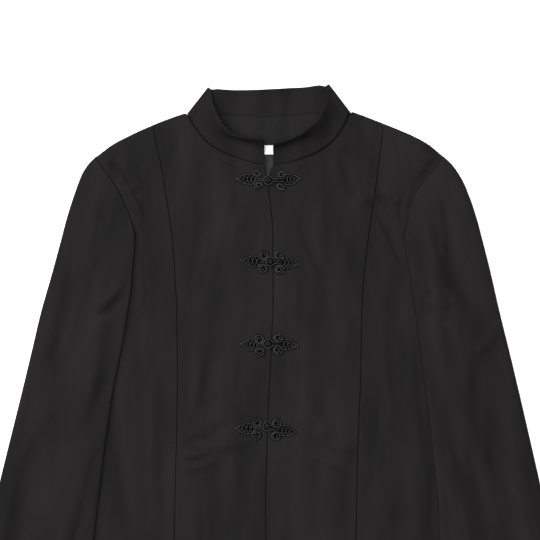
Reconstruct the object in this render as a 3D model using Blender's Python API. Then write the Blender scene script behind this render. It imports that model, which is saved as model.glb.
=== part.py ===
"""Mandarin collar blazer, laid flat on its back with the front up and the frogs closed.

Every length is in millimetres until a mesh is made. X runs across the garment from the middle of
the chest, Y up it towards the collar, and Z up from the surface that it lies on. Left and right
are the viewer's, as the front is seen from above.
"""
import math

import bmesh
import bpy
import numpy as np
from mathutils import Vector
from mathutils.bvhtree import BVHTree

# Driving dimensions
MM = 0.001
WALL = 2.0
SEAM_GAP = 0.3
ARMHOLE_GAP = 0.5
LAYER_GAP = 0.4
MOST_HOLLOW = 3.6
LEAST_FLANGE = 0.12
UNDERARM_LEVEL = 172.0
SHOULDER_LEVEL = 268.0
HEM_SIDE = -318.0
HEM_CENTRE = -331.0
BACK_HEM_DROP = 3.0
# Heights of the fronts' upper side, and how far from an edge they come down to it
FLANGE_TOP = 2.0 * WALL + LAYER_GAP
ARMHOLE_TOP = 6.0
ARMHOLE_BLEND = 40.0
BODY_TOP = 6.2
CHEST_LIFT = 0.5
CHEST_LEVEL = 190.0
CHEST_BLEND = 80.0
SHOULDER_PAD = 2.0
SHOULDER_PAD_REACH = 75.0
EDGE_ROUNDING = 12.0
EDGE_FLAT = 3.0
# The sleeves: what lies between their layers, and where they come down beside the body
SLEEVE_HOLLOW = 3.0
SLEEVE_HOLLOW_ON_BODY = 1.4
SLEEVE_HEAD = 0.8
SLEEVE_HEAD_LEVEL = 150.0
SLEEVE_HEAD_BLEND = 90.0
SLEEVE_EDGE_RADIUS = 7.0
SLEEVE_LANDING = 30.0
SLEEVE_CLEAR = 22.0
SLEEVE_DROP = 22.0
# The neck
COLLAR_FOLD_RADIUS = 2.5
FACING_THICKNESS = 1.0
FACING_SEAM_DROP = 1.6
LINING_LEFT, LINING_RIGHT = -27.0, 24.0
LINING_TOP, LINING_BOTTOM = 270.7, 234.0
LABEL_SIZE = (50.0, 10.8, 0.8)
LABEL_MIDDLE = (-1.0, 276.4)
# The frogs; heights are above the cloth that they lie on
COIL_RADIUS = 5.9
COIL_HEIGHT = 2.6
COIL_HOLLOW = 0.8
COIL_CROWN = 0.3
COIL_SHOULDER = 1.4
WING_HALF_WIDTH = 6.8
WING_START = 1.5
CORD_START = 4.0
STEM_RADIUS = 0.8
STEM_HEIGHT = 0.85
CORD_RADIUS = 1.1
LOOP_SPREAD = 1.6
LOOP_RISE = 2.9
LOOP_HEIGHT = 4.3
LOOP_GAP = 0.35
KNOT_RADIUS = 3.6

# Colours as linear values, with roughness
CLOTH = ("suiting", (0.0205, 0.0200, 0.0205), 0.85)
FACING_CLOTH = ("facing cloth", (0.0225, 0.0220, 0.0225), 0.85)
SATIN = ("lining satin", (0.0900, 0.0880, 0.0900), 0.40)
WHITE_TAPE = ("label tape", (0.8500, 0.8500, 0.8400), 0.70)
BRAID = ("frog braid", (0.0110, 0.0110, 0.0115), 0.55)


def table(columns, *rows):
    """Rows of numbers under named columns, as one array for each column."""
    return dict(zip(columns.split(), np.array(rows, float).T))


# Shoulder line, from the collar to the top of the armhole
SHOULDER = table(
    "left_x left_y right_x right_y",
    (-95.6, 320.2, 94.3, 321.9),
    (-105.0, 317.2, 105.0, 318.2),
    (-128.3, 308.6, 125.0, 310.5),
    (-147.6, 300.4, 151.2, 300.0),
    (-165.0, 292.2, 168.0, 292.7),
    (-181.1, 283.8, 184.0, 284.1),
    (-202.6, SHOULDER_LEVEL, 203.5, SHOULDER_LEVEL),
)
# Body outline at each level: the armhole seam, the underarm and the side seam down to the hem
BODY_EDGE = table(
    "level left right",
    (SHOULDER_LEVEL, -202.6, 203.5),
    (254, -193.6, 193.2),
    (241, -184.2, 181.4),
    (225, -174.6, 172.0),
    (204, -166.0, 165.2),
    (190, -161.7, 162.3),
    (UNDERARM_LEVEL, -158.9, 159.8),
    (150, -160.5, 161.5),
    (125, -167.0, 168.0),
    (100, -181.0, 182.0),
    (84, -198.0, 198.0),
    (76, -207.0, 207.0),
    (60, -209.5, 209.5),
    (0, -204.0, 204.0),
    (-70, -200.0, 200.0),
    (-140, -207.0, 207.0),
    (-200, -222.0, 222.0),
    (-250, -234.0, 234.0),
    (HEM_SIDE, -240.0, 240.0),
)
# Outer silhouette of the sleeves at each level, from the shoulder to the cuff
SLEEVE_OUTER = table(
    "level left right",
    (SHOULDER_LEVEL, -202.9, 203.8),
    (260, -210.7, 212.3),
    (250, -217.4, 219.7),
    (240, -221.7, 225.6),
    (225, -227.1, 232.0),
    (200, -235.2, 240.7),
    (170, -243.2, 248.8),
    (130, -254.0, 258.8),
    (90, -265.5, 267.9),
    (40, -277.4, 280.2),
    (-20, -291.9, 294.4),
    (-80, -306.8, 308.2),
    (-140, -321.6, 321.9),
    (-200, -336.4, 336.5),
    (-260, -351.6, 351.5),
    (-320, -366.0, 366.0),
)
# Inner fold of the sleeves at each level, from the visible underarm to the cuff
SLEEVE_INNER = table(
    "level left right",
    (UNDERARM_LEVEL, -159.2, 160.1),
    (150, -158.7, 160.8),
    (130, -159.1, 164.0),
    (110, -160.8, 166.3),
    (90, -164.0, 169.4),
    (60, -169.0, 172.9),
    (30, -174.6, 176.8),
    (0, -180.8, 180.8),
    (-50, -188.5, 187.2),
    (-100, -194.9, 193.0),
    (-140, -199.7, 196.2),
    (-180, -204.6, 197.6),
    (-230, -215.6, 203.3),
    (-290, -230.2, 221.0),
    (-350, -245.0, 241.0),
)
# Princess seams at each level, from the shoulder to the hem
PRINCESS = table(
    "level left right",
    (302, -135.2, 132.6),
    (280, -130.6, 130.0),
    (250, -124.4, 126.4),
    (220, -119.7, 122.4),
    (190, -115.2, 117.9),
    (160, -111.8, 113.8),
    (130, -109.9, 110.5),
    (100, -108.1, 108.4),
    (60, -107.3, 107.3),
    (0, -106.8, 106.2),
    (-60, -108.0, 103.6),
    (-120, -109.6, 102.2),
    (-180, -110.6, 101.2),
    (-250, -112.5, 102.5),
    (-326, -116.0, 106.0),
)
# Centre front at each level, with the half width of the slit between its two edges
CENTRE = table(
    "level x slit",
    (259.2, -0.5, 5.2),
    (252, -1.8, 2.9),
    (244, -2.3, 0.6),
    (236, -1.4, 0.15),
    (220, 0.7, 0.15),
    (187, 3.9, 0.15),
    (150, 4.2, 0.15),
    (102, 4.7, 0.15),
    (60, 3.0, 0.15),
    (20, 1.4, 0.15),
    (-20, -0.9, 0.15),
    (-50, -2.1, 0.15),
    (-80, -2.9, 0.15),
    (-112, -3.9, 0.15),
    (-178, -3.9, 0.15),
    (HEM_CENTRE, -3.5, 0.15),
)
# Edge of the front panels at the collar, from the shoulder to the slit
NECKLINE = table(
    "left_x left_y right_x right_y",
    (-95.6, 320.2, 94.3, 321.9),
    (-91.6, 311.4, 90.0, 311.6),
    (-84.9, 301.6, 85.8, 303.6),
    (-73.0, 286.7, 74.6, 288.2),
    (-56.9, 276.0, 58.8, 276.3),
    (-37.6, 267.9, 41.2, 268.2),
    (-15.6, 260.8, 21.2, 261.7),
    (-5.7, 259.2, 4.7, 259.2),
)
# The collar at the front: where each station of it is sewn on, where its top edge is, and how far
# it bows in between
COLLAR_LEFT = table(
    "seam_x seam_y seam_z top_x top_y top_z bow",
    (-5.8, 260.7, 5.4, -5.6, 288.2, 23.2, 3.5),
    (-15.3, 262.4, 5.4, -15.2, 288.5, 24.6, 3.5),
    (-26.0, 265.2, 5.4, -23.8, 288.7, 26.8, 3.5),
    (-36.8, 269.3, 5.4, -32.7, 290.0, 28.6, 3.5),
    (-55.8, 277.5, 5.4, -44.7, 295.0, 28.4, 3.0),
    (-71.6, 288.1, 5.4, -54.8, 306.4, 25.2, 2.5),
    (-83.2, 302.8, 5.6, -61.6, 319.5, 20.4, 1.5),
    (-90.0, 312.6, 6.0, -66.2, 334.0, 13.6, 0.5),
)
COLLAR_RIGHT = table(
    "seam_x seam_y seam_z top_x top_y top_z bow",
    (4.8, 260.9, 5.4, 4.2, 283.4, 27.8, 3.5),
    (20.7, 263.2, 5.4, 17.0, 285.2, 28.2, 3.5),
    (30.5, 266.0, 5.4, 25.0, 288.0, 27.8, 3.5),
    (40.4, 269.6, 5.4, 33.2, 291.6, 27.0, 3.5),
    (57.8, 277.6, 5.4, 46.0, 301.2, 24.0, 3.0),
    (73.2, 289.4, 5.4, 56.6, 312.0, 21.0, 2.5),
    (84.3, 305.2, 5.6, 63.4, 325.4, 17.2, 1.5),
    (88.4, 313.6, 6.0, 66.2, 338.6, 12.6, 0.5),
)
# The collar across the back, left to right
COLLAR_BACK = table(
    "seam_x seam_y seam_z top_x top_y top_z bow",
    (-76.0, 319.6, 1.7, -60.5, 347.4, 5.6, 0.2),
    (-56.0, 319.2, 1.7, -45.0, 346.2, 6.4, 0.3),
    (-31.0, 317.6, 1.7, -27.0, 346.0, 7.2, 0.4),
    (-2.0, 316.4, 1.7, -1.0, 347.0, 7.6, 0.5),
    (27.0, 318.0, 1.7, 24.0, 348.4, 7.2, 0.4),
    (53.0, 320.3, 1.7, 43.0, 349.5, 6.4, 0.3),
    (73.0, 320.6, 1.7, 58.0, 351.7, 5.6, 0.2),
)
# Edge of the back at the collar, left to right
BACK_NECK = table(
    "x y",
    (-95.6, 320.2),
    (-93.6, 316.0),
    (-86.0, 316.6),
    (-76.0, 318.0),
    (-56.0, 317.8),
    (-31.0, 316.3),
    (-2.0, 315.1),
    (27.0, 316.7),
    (53.0, 319.0),
    (73.0, 319.1),
    (82.5, 317.7),
    (91.0, 317.0),
    (94.3, 321.9),
)
# The creases at the collar's sides: where each starts and ends in plan, and the height of its
# middle there
COLLAR_CREASE = table(
    "seam_x seam_y seam_z top_x top_y top_z side",
    (-94.2, 319.3, 4.6, -70.6, 349.0, 7.4, -1),
    (92.8, 321.0, 4.6, 68.5, 352.6, 7.4, 1),
)
# Sides of the facing in plan, from the collar down to its lower edge
FACING_SIDES = table(
    "left_x left_y right_x right_y",
    (-77.0, 300.0, 77.0, 302.0),
    (-64.0, 284.0, 65.0, 285.0),
    (-46.0, 271.3, 46.0, 271.3),
)
# Creases in the front: the ends and the middle of each in plan, its half width, and its height,
# which is below zero in a trough
FRONT_FOLDS = table(
    "x0 y0 x1 y1 x2 y2 width height",
    (-186, 262, -177, 247, -164, 226, 6, -1.4),
    (-175, 266, -163, 248, -155, 222, 8, 1.2),
    (-158, 224, -154, 205, -157, 180, 7, 1.4),
    (-58, 222, -72, 150, -84, 88, 13, -1.3),
    (-40, 215, -52, 150, -62, 92, 13, 0.9),
    (-62, 62, -62, 20, -70, -40, 11, -1.1),
    (-104, -84, -72, -76, -38, -52, 8, 1.1),
    (-104, -70, -76, -62, -44, -42, 7, -0.9),
    (-140, 195, -143, 90, -140, -40, 12, -1.1),
    (84, 282, 98, 250, 112, 215, 11, -1.3),
    (34, 222, 55, 150, 92, 52, 13, -1.2),
    (58, 226, 82, 150, 104, 84, 11, 0.9),
    (32, 36, 60, -8, 92, -72, 11, -1.1),
    (48, -58, 74, -50, 100, -82, 9, 0.9),
    (122, 232, 142, 194, 162, 144, 8, -1.6),
    (128, 240, 150, 204, 166, 160, 8, 1.3),
    (150, 222, 156, 196, 160, 168, 6, -1.2),
    (150, 140, 148, 60, 152, -30, 13, -1.1),
    (-60, -170, -64, -250, -66, -350, 26, 1.4),
    (52, -160, 56, -250, 60, -350, 28, 1.5),
    (-166, -150, -172, -250, -178, -350, 18, 1.2),
    (158, -150, 164, -250, 172, -350, 18, 1.2),
    (-4, -200, -4, -270, -4, -350, 12, -0.9),
)
SLEEVE_FOLDS = table(
    "x0 y0 x1 y1 x2 y2 width height",
    (-212, 200, -228, 90, -246, -90, 13, -1.4),
    (-190, 160, -200, 60, -216, -60, 12, 0.9),
    (-262, -40, -280, -150, -296, -260, 13, -1.3),
    (-232, -120, -246, -200, -262, -300, 12, 1.0),
    (198, 238, 220, 110, 240, -40, 14, -1.4),
    (182, 170, 194, 60, 208, -60, 12, 0.9),
    (262, -20, 276, -130, 292, -250, 13, -1.3),
    (226, -90, 236, -190, 258, -300, 12, 1.0),
)
# Each frog, in plan: its knot, the tips of its wings and the middles of its four coils, with how
# round the coils lie
FROGS = table(
    "knot_x knot_y left_x left_y right_x right_y "
    "left_top_x left_top_y left_low_x left_low_y right_top_x right_top_y right_low_x right_low_y "
    "roundness",
    (-1.2, 240.9, -40.8, 242.1, 38.5, 243.3, -15.0, 249.2, -12.8, 235.0, 14.8, 248.0, 13.2, 233.4, 0.64),
    (1.2, 146.4, -35.4, 148.0, 36.2, 142.9, -6.6, 153.6, -7.6, 138.4, 11.2, 154.0, 12.0, 137.2, 1.0),
    (-1.2, 50.8, -35.6, 50.8, 35.6, 48.4, -11.8, 55.6, -11.3, 41.0, 10.6, 58.0, 9.6, 43.2, 1.0),
    (-2.3, -45.5, -42.6, -47.8, 33.2, -53.1, -14.2, -41.2, -15.0, -55.6, 8.6, -41.8, 7.6, -56.6, 1.0),
)
# A frog's wing: its half width along it, as shares of the length and of the widest place
WING = table(
    "share width",
    (0.0, 0.78),
    (0.16, 0.95),
    (0.34, 1.0),
    (0.52, 0.86),
    (0.70, 0.60),
    (0.86, 0.32),
    (1.0, 0.10),
)
# A frog's wing in section, from edge to edge, with its raised rims
WING_SECTION = table(
    "step rise",
    (-1.0, 0.7),
    (-0.72, 2.1),
    (0.0, 1.3),
    (0.72, 2.1),
    (1.0, 0.7),
)


def smooth(share):
    """Eases from 0 to 1 as the share goes from 0 to 1."""
    share = np.clip(share, 0.0, 1.0)
    return share * share * (3.0 - 2.0 * share)


def through(keys, values, at):
    """Reads a smooth curve through a table's values at other keys."""
    order = np.argsort(keys)
    keys, values = keys[order], values[order]
    slopes = np.gradient(values, keys)
    low = np.clip(np.searchsorted(keys, at) - 1, 0, len(keys) - 2)
    span = keys[low + 1] - keys[low]
    t = np.clip((at - keys[low]) / span, 0.0, 1.0)
    ease = smooth(t)
    return (
        values[low] * (1.0 - ease)
        + values[low + 1] * ease
        + span * slopes[low] * t * (1.0 - t) ** 2
        - span * slopes[low + 1] * t * t * (1.0 - t)
    )


def by_level(levels, across, start, stop):
    """The curve of a table's column, run from one level to another."""

    def at(t):
        level = start + (stop - start) * np.asarray(t, float)
        return np.stack([through(levels, across, level), level], -1)

    return at


def by_point(points):
    """Straight lines between points, run by their number along the line."""
    points = np.asarray(points, float)

    def at(t):
        place = np.asarray(t, float) * (len(points) - 1)
        return np.stack([np.interp(place, np.arange(len(points)), column) for column in points.T], -1)

    return at


def course(points):
    """A smooth curve through points, run by the length along it."""
    points = np.asarray(points, float)
    length = np.concatenate([[0.0], np.cumsum(np.linalg.norm(np.diff(points, axis=0), axis=1))])

    def at(t):
        place = np.asarray(t, float) * length[-1]
        return np.stack([through(length, column, place) for column in points.T], -1)

    return at


def joined(*curves_and_shares):
    """Several curves end to end, each with its share of the whole run."""
    starts = np.cumsum([0.0] + [share for curve, share in curves_and_shares])

    def at(t):
        t = np.atleast_1d(np.asarray(t, float))
        out = np.zeros(t.shape + (2,))
        for (curve, share), start in zip(curves_and_shares, starts):
            here = (t >= start - 1e-9) & (t <= start + share + 1e-9)
            out[here] = curve(np.clip((t[here] - start) / share, 0.0, 1.0))
        return out

    return at


def patch(left, right, top, bottom, u, v):
    """Plan points that fill four edges; u runs left to right and v top to bottom."""
    u_, v_ = u[..., None], v[..., None]
    corners = (1 - v_) * ((1 - u_) * top(0.0) + u_ * top(1.0))
    corners = corners + v_ * ((1 - u_) * bottom(0.0) + u_ * bottom(1.0))
    sides = (1 - u_) * left(v) + u_ * right(v)
    ends = (1 - v_) * top(u) + v_ * bottom(u)
    return sides + ends - corners


def nearest(points, path):
    """Distance from each plan point to a path, and the share along the path where it is nearest."""
    start, step = path[:-1], np.diff(path, axis=0)
    length = np.linalg.norm(step, axis=1)
    away = points[..., None, :] - start
    t = np.clip((away * step).sum(-1) / np.maximum(length, 1e-9) ** 2, 0.0, 1.0)
    gap = np.linalg.norm(away - t[..., None] * step, axis=-1)
    best = gap.argmin(-1)
    pick = np.take_along_axis
    run = np.concatenate([[0.0], np.cumsum(length)[:-1]])
    along = (run + t * length) / length.sum()
    return pick(gap, best[..., None], -1)[..., 0], pick(along, best[..., None], -1)[..., 0]


def inside(points, outline):
    """Whether each plan point lies inside a closed outline."""
    x, y = points[..., 0, None], points[..., 1, None]
    x0, y0 = outline.T
    x1, y1 = np.roll(outline, -1, axis=0).T
    crosses = (y0 > y) != (y1 > y)
    rise = np.where(y1 == y0, 1e-9, y1 - y0)
    return ((x < x0 + (y - y0) * (x1 - x0) / rise) & crosses).sum(-1) % 2 == 1


def folds(points, rows):
    """Height that the creases of a table add at plan points."""
    total = np.zeros(points.shape[:-1])
    for row in zip(*(rows[name] for name in "x0 y0 x1 y1 x2 y2 width height".split())):
        x0, y0, x1, y1, x2, y2, width, height = row
        line = course([(x0, y0), (x1, y1), (x2, y2)])(np.linspace(0.0, 1.0, 9))
        gap, along = nearest(points, line)
        total += height * np.exp(-((gap / width) ** 2)) * smooth(4.0 * along) * smooth(4.0 - 4.0 * along)
    return total


# Edges of the pieces in plan
SIDES = {"left": -1.0, "right": 1.0}
FINE = np.linspace(0.0, 1.0, 60)
SHOULDER_LINE = {
    side: course(np.stack([SHOULDER[side + "_x"], SHOULDER[side + "_y"]], -1)) for side in SIDES
}
NECK_EDGE = {
    side: course(np.stack([NECKLINE[side + "_x"], NECKLINE[side + "_y"]], -1)) for side in SIDES
}
BODY_SIDE = {
    side: by_level(BODY_EDGE["level"], BODY_EDGE[side], SHOULDER_LEVEL, HEM_SIDE) for side in SIDES
}
BODY_OUTLINE = np.concatenate(
    [
        SHOULDER_LINE["left"](FINE[::-1]),
        SHOULDER_LINE["right"](FINE),
        BODY_SIDE["right"](FINE),
        BODY_SIDE["left"](FINE[::-1]),
    ]
)


def hem_level(x):
    """Level of the front hem, which dips towards the middle."""
    return HEM_SIDE + (HEM_CENTRE - HEM_SIDE) * (1.0 - np.abs(x / BODY_EDGE["right"][-1]) ** 2)


def seen_edge(side):
    """Where the body goes out of sight: the armhole seam, and below it the sleeve's inner fold."""
    seam = by_level(BODY_EDGE["level"], BODY_EDGE[side], SHOULDER_LEVEL, UNDERARM_LEVEL)
    fold = by_level(SLEEVE_INNER["level"], SLEEVE_INNER[side], UNDERARM_LEVEL, SLEEVE_INNER["level"][-1])
    return np.concatenate([seam(FINE), fold(FINE[1:])])


SEEN_EDGE = {side: seen_edge(side) for side in SIDES}


def front_top(points):
    """Height of the front's upper side at plan points."""
    x, y = points[..., 0], points[..., 1]
    top = BODY_TOP + CHEST_LIFT * smooth((y - CHEST_LEVEL) / CHEST_BLEND) + folds(points, FRONT_FOLDS)
    armhole_top = FLANGE_TOP + (ARMHOLE_TOP - FLANGE_TOP) * smooth((y - UNDERARM_LEVEL) / ARMHOLE_BLEND)
    for side, sign in SIDES.items():
        tip = SHOULDER_LINE[side](1.0)
        reach = np.hypot(x - tip[0], y - tip[1]) / SHOULDER_PAD_REACH
        top = top + SHOULDER_PAD * (1.0 - smooth(reach))
        edge = SEEN_EDGE[side]
        gap = nearest(points, edge)[0]
        hidden = sign * x > sign * np.interp(-y, -edge[:, 1], edge[:, 0])
        share = smooth((np.where(hidden, 0.0, gap) - EDGE_FLAT) / EDGE_ROUNDING)
        near = sign * x > 0.0
        top = np.where(near, armhole_top + (top - armhole_top) * share, top)
        share = smooth(nearest(points, SHOULDER_LINE[side](FINE))[0] / EDGE_ROUNDING)
        top = np.where(near, FLANGE_TOP + (top - FLANGE_TOP) * share, top)
    return top


def front_bottom(top):
    """Height of the front's lower side, which is never far above the back."""
    return np.minimum(top - WALL, WALL + MOST_HOLLOW)


def sleeve_heights(points):
    """Heights of a sleeve's lower and upper sides at plan points."""
    y = points[..., 1]
    away = nearest(points, np.vstack([BODY_OUTLINE, BODY_OUTLINE[:1]]))[0]
    away = np.where(inside(points, BODY_OUTLINE), 0.0, away)
    carried = 1.0 - smooth((away - SLEEVE_CLEAR) / SLEEVE_DROP)
    carried = carried * smooth((UNDERARM_LEVEL - y) / SLEEVE_LANDING + 1.0)
    low = (FLANGE_TOP + LAYER_GAP) * carried
    hollow = SLEEVE_HOLLOW + (SLEEVE_HOLLOW_ON_BODY - SLEEVE_HOLLOW) * carried
    head = SLEEVE_HEAD * smooth((y - SLEEVE_HEAD_LEVEL) / SLEEVE_HEAD_BLEND)
    hollow = np.clip(hollow + folds(points, SLEEVE_FOLDS), LAYER_GAP, None)
    return low, low + 2.0 * WALL + hollow + head


def material(finish):
    """The material of a finish, made once."""
    name, colour, roughness = finish
    found = bpy.data.materials.get(name)
    if found:
        return found
    made = bpy.data.materials.new(name)
    made.use_nodes = True
    shader = made.node_tree.nodes["Principled BSDF"]
    shader.inputs["Base Color"].default_value = (*colour, 1.0)
    shader.inputs["Roughness"].default_value = roughness
    shader.inputs["Metallic"].default_value = 0.0
    made.diffuse_color = (*colour, 1.0)
    return made


def solid(name, points, faces, finish):
    """A closed object from points in millimetres and its faces."""
    mesh = bpy.data.meshes.new(name)
    mesh.from_pydata([tuple(p) for p in np.asarray(points) * MM], [], faces)
    shape = bmesh.new()
    shape.from_mesh(mesh)
    bmesh.ops.recalc_face_normals(shape, faces=shape.faces)
    shape.to_mesh(mesh)
    shape.free()
    mesh.materials.append(material(finish))
    mesh.shade_smooth()
    made = bpy.data.objects.new(name, mesh)
    bpy.context.scene.collection.objects.link(made)
    return made


def split(a, b, c, d):
    """The two triangles of a four-sided face."""
    return [(a, b, c), (a, c, d)]


def slab(name, upper, lower, finish):
    """A closed wall between two grids of points, rows by columns."""
    rows, cols = upper.shape[:2]
    count = rows * cols
    faces = []
    for r in range(rows - 1):
        for c in range(cols - 1):
            a = r * cols + c
            quad = (a, a + cols, a + cols + 1, a + 1)
            faces += split(*quad)
            faces += split(*(count + i for i in quad))
    rim = [c for c in range(cols)]
    rim += [r * cols + cols - 1 for r in range(1, rows)]
    rim += [(rows - 1) * cols + c for c in range(cols - 2, -1, -1)]
    rim += [r * cols for r in range(rows - 2, 0, -1)]
    for a, b in zip(rim, rim[1:] + rim[:1]):
        faces += split(a, b, count + b, count + a)
    points = np.concatenate([upper.reshape(-1, 3), lower.reshape(-1, 3)])
    return solid(name, points, faces, finish)


def sheet_between(name, plan, top, bottom, finish):
    """A slab over plan points, between two heights or grids of heights."""
    shape = plan.shape[:-1]
    upper = np.concatenate([plan, np.broadcast_to(top, shape)[..., None]], -1)
    lower = np.concatenate([plan, np.broadcast_to(bottom, shape)[..., None]], -1)
    return slab(name, upper, lower, finish)


def grid(across, along):
    """The u and v of a grid, a row for each value along."""
    return np.meshgrid(np.asarray(across, float), np.asarray(along, float))


# Where the points of a flattened sleeve lie across it, closer together at its rounded edges
RING = np.array([0.0, 0.011, 0.04, 0.09, 0.20, 0.32, 0.44, 0.56, 0.68, 0.80, 0.91, 0.96, 0.989, 1.0])
# Rows along a sleeve, from the armhole to the cuff, closer together where it leaves the body
SLEEVE_ROWS = np.concatenate([[0.0, 0.015, 0.045], np.linspace(0.08, 0.32, 7), np.linspace(0.377, 1.0, 12)])
# Rows from the shoulder to the hem, which meet the sleeve's points along the armhole
SIDE_CORNER_LEVEL = 76.0
BODY_LEVELS = np.concatenate(
    [
        UNDERARM_LEVEL + (SHOULDER_LEVEL - UNDERARM_LEVEL) * np.delete(RING, [1, 12])[::-1],
        np.linspace(UNDERARM_LEVEL, SIDE_CORNER_LEVEL, 6)[1:],
        np.linspace(SIDE_CORNER_LEVEL, HEM_SIDE, 10)[1:],
    ]
)
BODY_ROWS = (SHOULDER_LEVEL - BODY_LEVELS) / (SHOULDER_LEVEL - HEM_SIDE)


def seam_curve(side, shift):
    """The princess seam moved sideways by half of its gap."""
    hem = float(hem_level(PRINCESS[side][-1]))
    return by_level(PRINCESS["level"], PRINCESS[side] + shift, PRINCESS["level"][0], hem)


def centre_curve(side):
    """One edge of the centre front."""
    shift = SIDES[side] * CENTRE["slit"]
    return by_level(CENTRE["level"], CENTRE["x"] + shift, CENTRE["level"][0], HEM_CENTRE)


def hem_curve(start, stop):
    """The front hem between two places across the garment."""

    def at(t):
        x = start + (stop - start) * np.asarray(t, float)
        return np.stack([x, hem_level(x)], -1)

    return at


def shoulder_part(side, start, stop):
    """A stretch of the shoulder line, by its shares from the collar."""
    return lambda t: SHOULDER_LINE[side](start + (stop - start) * np.asarray(t, float))


def share_at_x(curve, x):
    """The share along a curve at which it crosses a place across the garment."""
    run = curve(FINE)[:, 0]
    order = np.argsort(run)
    return float(np.interp(x, run[order], FINE[order]))


def front_side(side):
    """The side panel of one front, from the armhole and side seam to the princess seam."""
    sign = SIDES[side]
    seam = seam_curve(side, sign * SEAM_GAP / 2.0)
    start = share_at_x(SHOULDER_LINE[side], seam(0.0)[0])
    edge, fold = BODY_SIDE[side](BODY_ROWS), SEEN_EDGE[side]
    fold_x = np.interp(-edge[:, 1], -fold[:, 1], fold[:, 0])
    under = (fold_x - edge[:, 0]) / (seam(BODY_ROWS)[:, 0] - edge[:, 0])
    under = np.clip(under, LEAST_FLANGE, None)[:, None]
    shown = under + (1.0 - under) * np.linspace(0.0, 1.0, 6)
    u = np.concatenate([np.zeros_like(under), under / 2.0, shown], 1)
    v = np.broadcast_to(BODY_ROWS[:, None], u.shape)
    plan = patch(
        BODY_SIDE[side],
        seam,
        shoulder_part(side, 1.0, start),
        hem_curve(BODY_SIDE[side](1.0)[0], seam(1.0)[0]),
        u,
        v,
    )
    top = front_top(plan)
    return sheet_between("front_side_" + side, plan, top, front_bottom(top), CLOTH)


def front_centre(side):
    """The centre panel of one front, from the princess seam to the centre front."""
    sign = SIDES[side]
    seam = seam_curve(side, -sign * SEAM_GAP / 2.0)
    centre = centre_curve(side)
    start = share_at_x(SHOULDER_LINE[side], seam(0.0)[0])
    shoulder_cells, neck_cells = 3, 9
    share = shoulder_cells / (shoulder_cells + neck_cells)
    upper_edge = joined((shoulder_part(side, start, 0.0), share), (NECK_EDGE[side], 1.0 - share))
    u, v = grid(np.linspace(0.0, 1.0, shoulder_cells + neck_cells + 1), BODY_ROWS)
    plan = patch(seam, centre, upper_edge, hem_curve(seam(1.0)[0], centre(1.0)[0]), u, v)
    top = front_top(plan)
    return sheet_between("front_center_" + side, plan, top, front_bottom(top), CLOTH)


def plate(name, outline, top, bottom, finish):
    """A flat piece of cloth with an outline in plan."""
    count = len(outline)
    upper = np.column_stack([outline, np.full(count, top)])
    lower = np.column_stack([outline, np.full(count, bottom)])
    faces = [tuple(range(count)), tuple(range(2 * count - 1, count - 1, -1))]
    for a in range(count):
        b = (a + 1) % count
        faces += split(a, b, count + b, count + a)
    return solid(name, np.concatenate([upper, lower]), faces, finish)


def back():
    """The back, flat on the surface, a little longer than the fronts."""
    neck = np.stack([BACK_NECK["x"], BACK_NECK["y"]], -1)
    sides = {side: BODY_SIDE[side](BODY_ROWS) for side in SIDES}
    shoulders = {side: SHOULDER_LINE[side](np.linspace(0.0, 1.0, 7))[1:-1] for side in SIDES}
    hem = hem_curve(sides["right"][-1][0], sides["left"][-1][0])(np.linspace(0.0, 1.0, 9))
    outline = np.concatenate(
        [
            neck,
            shoulders["right"],
            sides["right"],
            hem - (0.0, BACK_HEM_DROP),
            sides["left"][::-1],
            shoulders["left"][::-1],
        ]
    )
    return plate("back", outline, WALL, 0.0, CLOTH)


def armhole_curve(side):
    """The sleeve's own edge at the armhole, from the underarm up, clear of the body by the gap."""
    seam = by_level(BODY_EDGE["level"], BODY_EDGE[side], UNDERARM_LEVEL, SHOULDER_LEVEL)
    step = 1.0 / len(FINE)

    def at(t):
        t = np.asarray(t, float)
        ahead = seam(np.clip(t + step, 0.0, 1.0)) - seam(np.clip(t - step, 0.0, 1.0))
        outward = np.stack([ahead[..., 1], -ahead[..., 0]], -1) * SIDES[side]
        return seam(t) + ARMHOLE_GAP * outward / np.linalg.norm(outward, axis=-1, keepdims=True)

    return at


def sleeve(side):
    """One sleeve: a flattened tube, open at the armhole and the cuff, partly on the body."""
    start = armhole_curve(side)
    inner = by_level(SLEEVE_INNER["level"], SLEEVE_INNER[side], UNDERARM_LEVEL, SLEEVE_INNER["level"][-1])
    outer = by_level(SLEEVE_OUTER["level"], SLEEVE_OUTER[side], SHOULDER_LEVEL, SLEEVE_OUTER["level"][-1])

    def cuff(t):
        t = np.asarray(t, float)[..., None]
        return inner(1.0) * (1.0 - t) + outer(1.0) * t

    skins = []
    for inset in (0.0, WALL):
        skin = []
        for v in SLEEVE_ROWS:
            ends = patch(inner, outer, start, cuff, np.array([0.0, 1.0]), np.array([v, v]))
            width = float(np.linalg.norm(ends[1] - ends[0]))
            radius = SLEEVE_EDGE_RADIUS - inset
            across = RING * (width - 2.0 * inset)
            edge = np.minimum(across, across[-1] - across)
            swell = np.sqrt(np.clip(1.0 - (1.0 - np.clip(edge / radius, 0.0, 1.0)) ** 2, 0.0, 1.0))
            u = (across + inset) / width
            plan = patch(inner, outer, start, cuff, u, np.full(len(u), v))
            low, high = sleeve_heights(plan)
            low, high = low + inset, high - inset
            if inset:
                high = np.minimum(high, low + MOST_HOLLOW)
            middle = (low + high) / 2.0
            upper = np.column_stack([plan, middle + (high - middle) * swell])
            lower = np.column_stack([plan, middle + (low - middle) * swell])
            skin.append(np.concatenate([upper, lower[-2:0:-1]]))
        skins.append(np.array(skin))
    return tube("sleeve_" + side, skins[0], skins[1], CLOTH)


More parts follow.
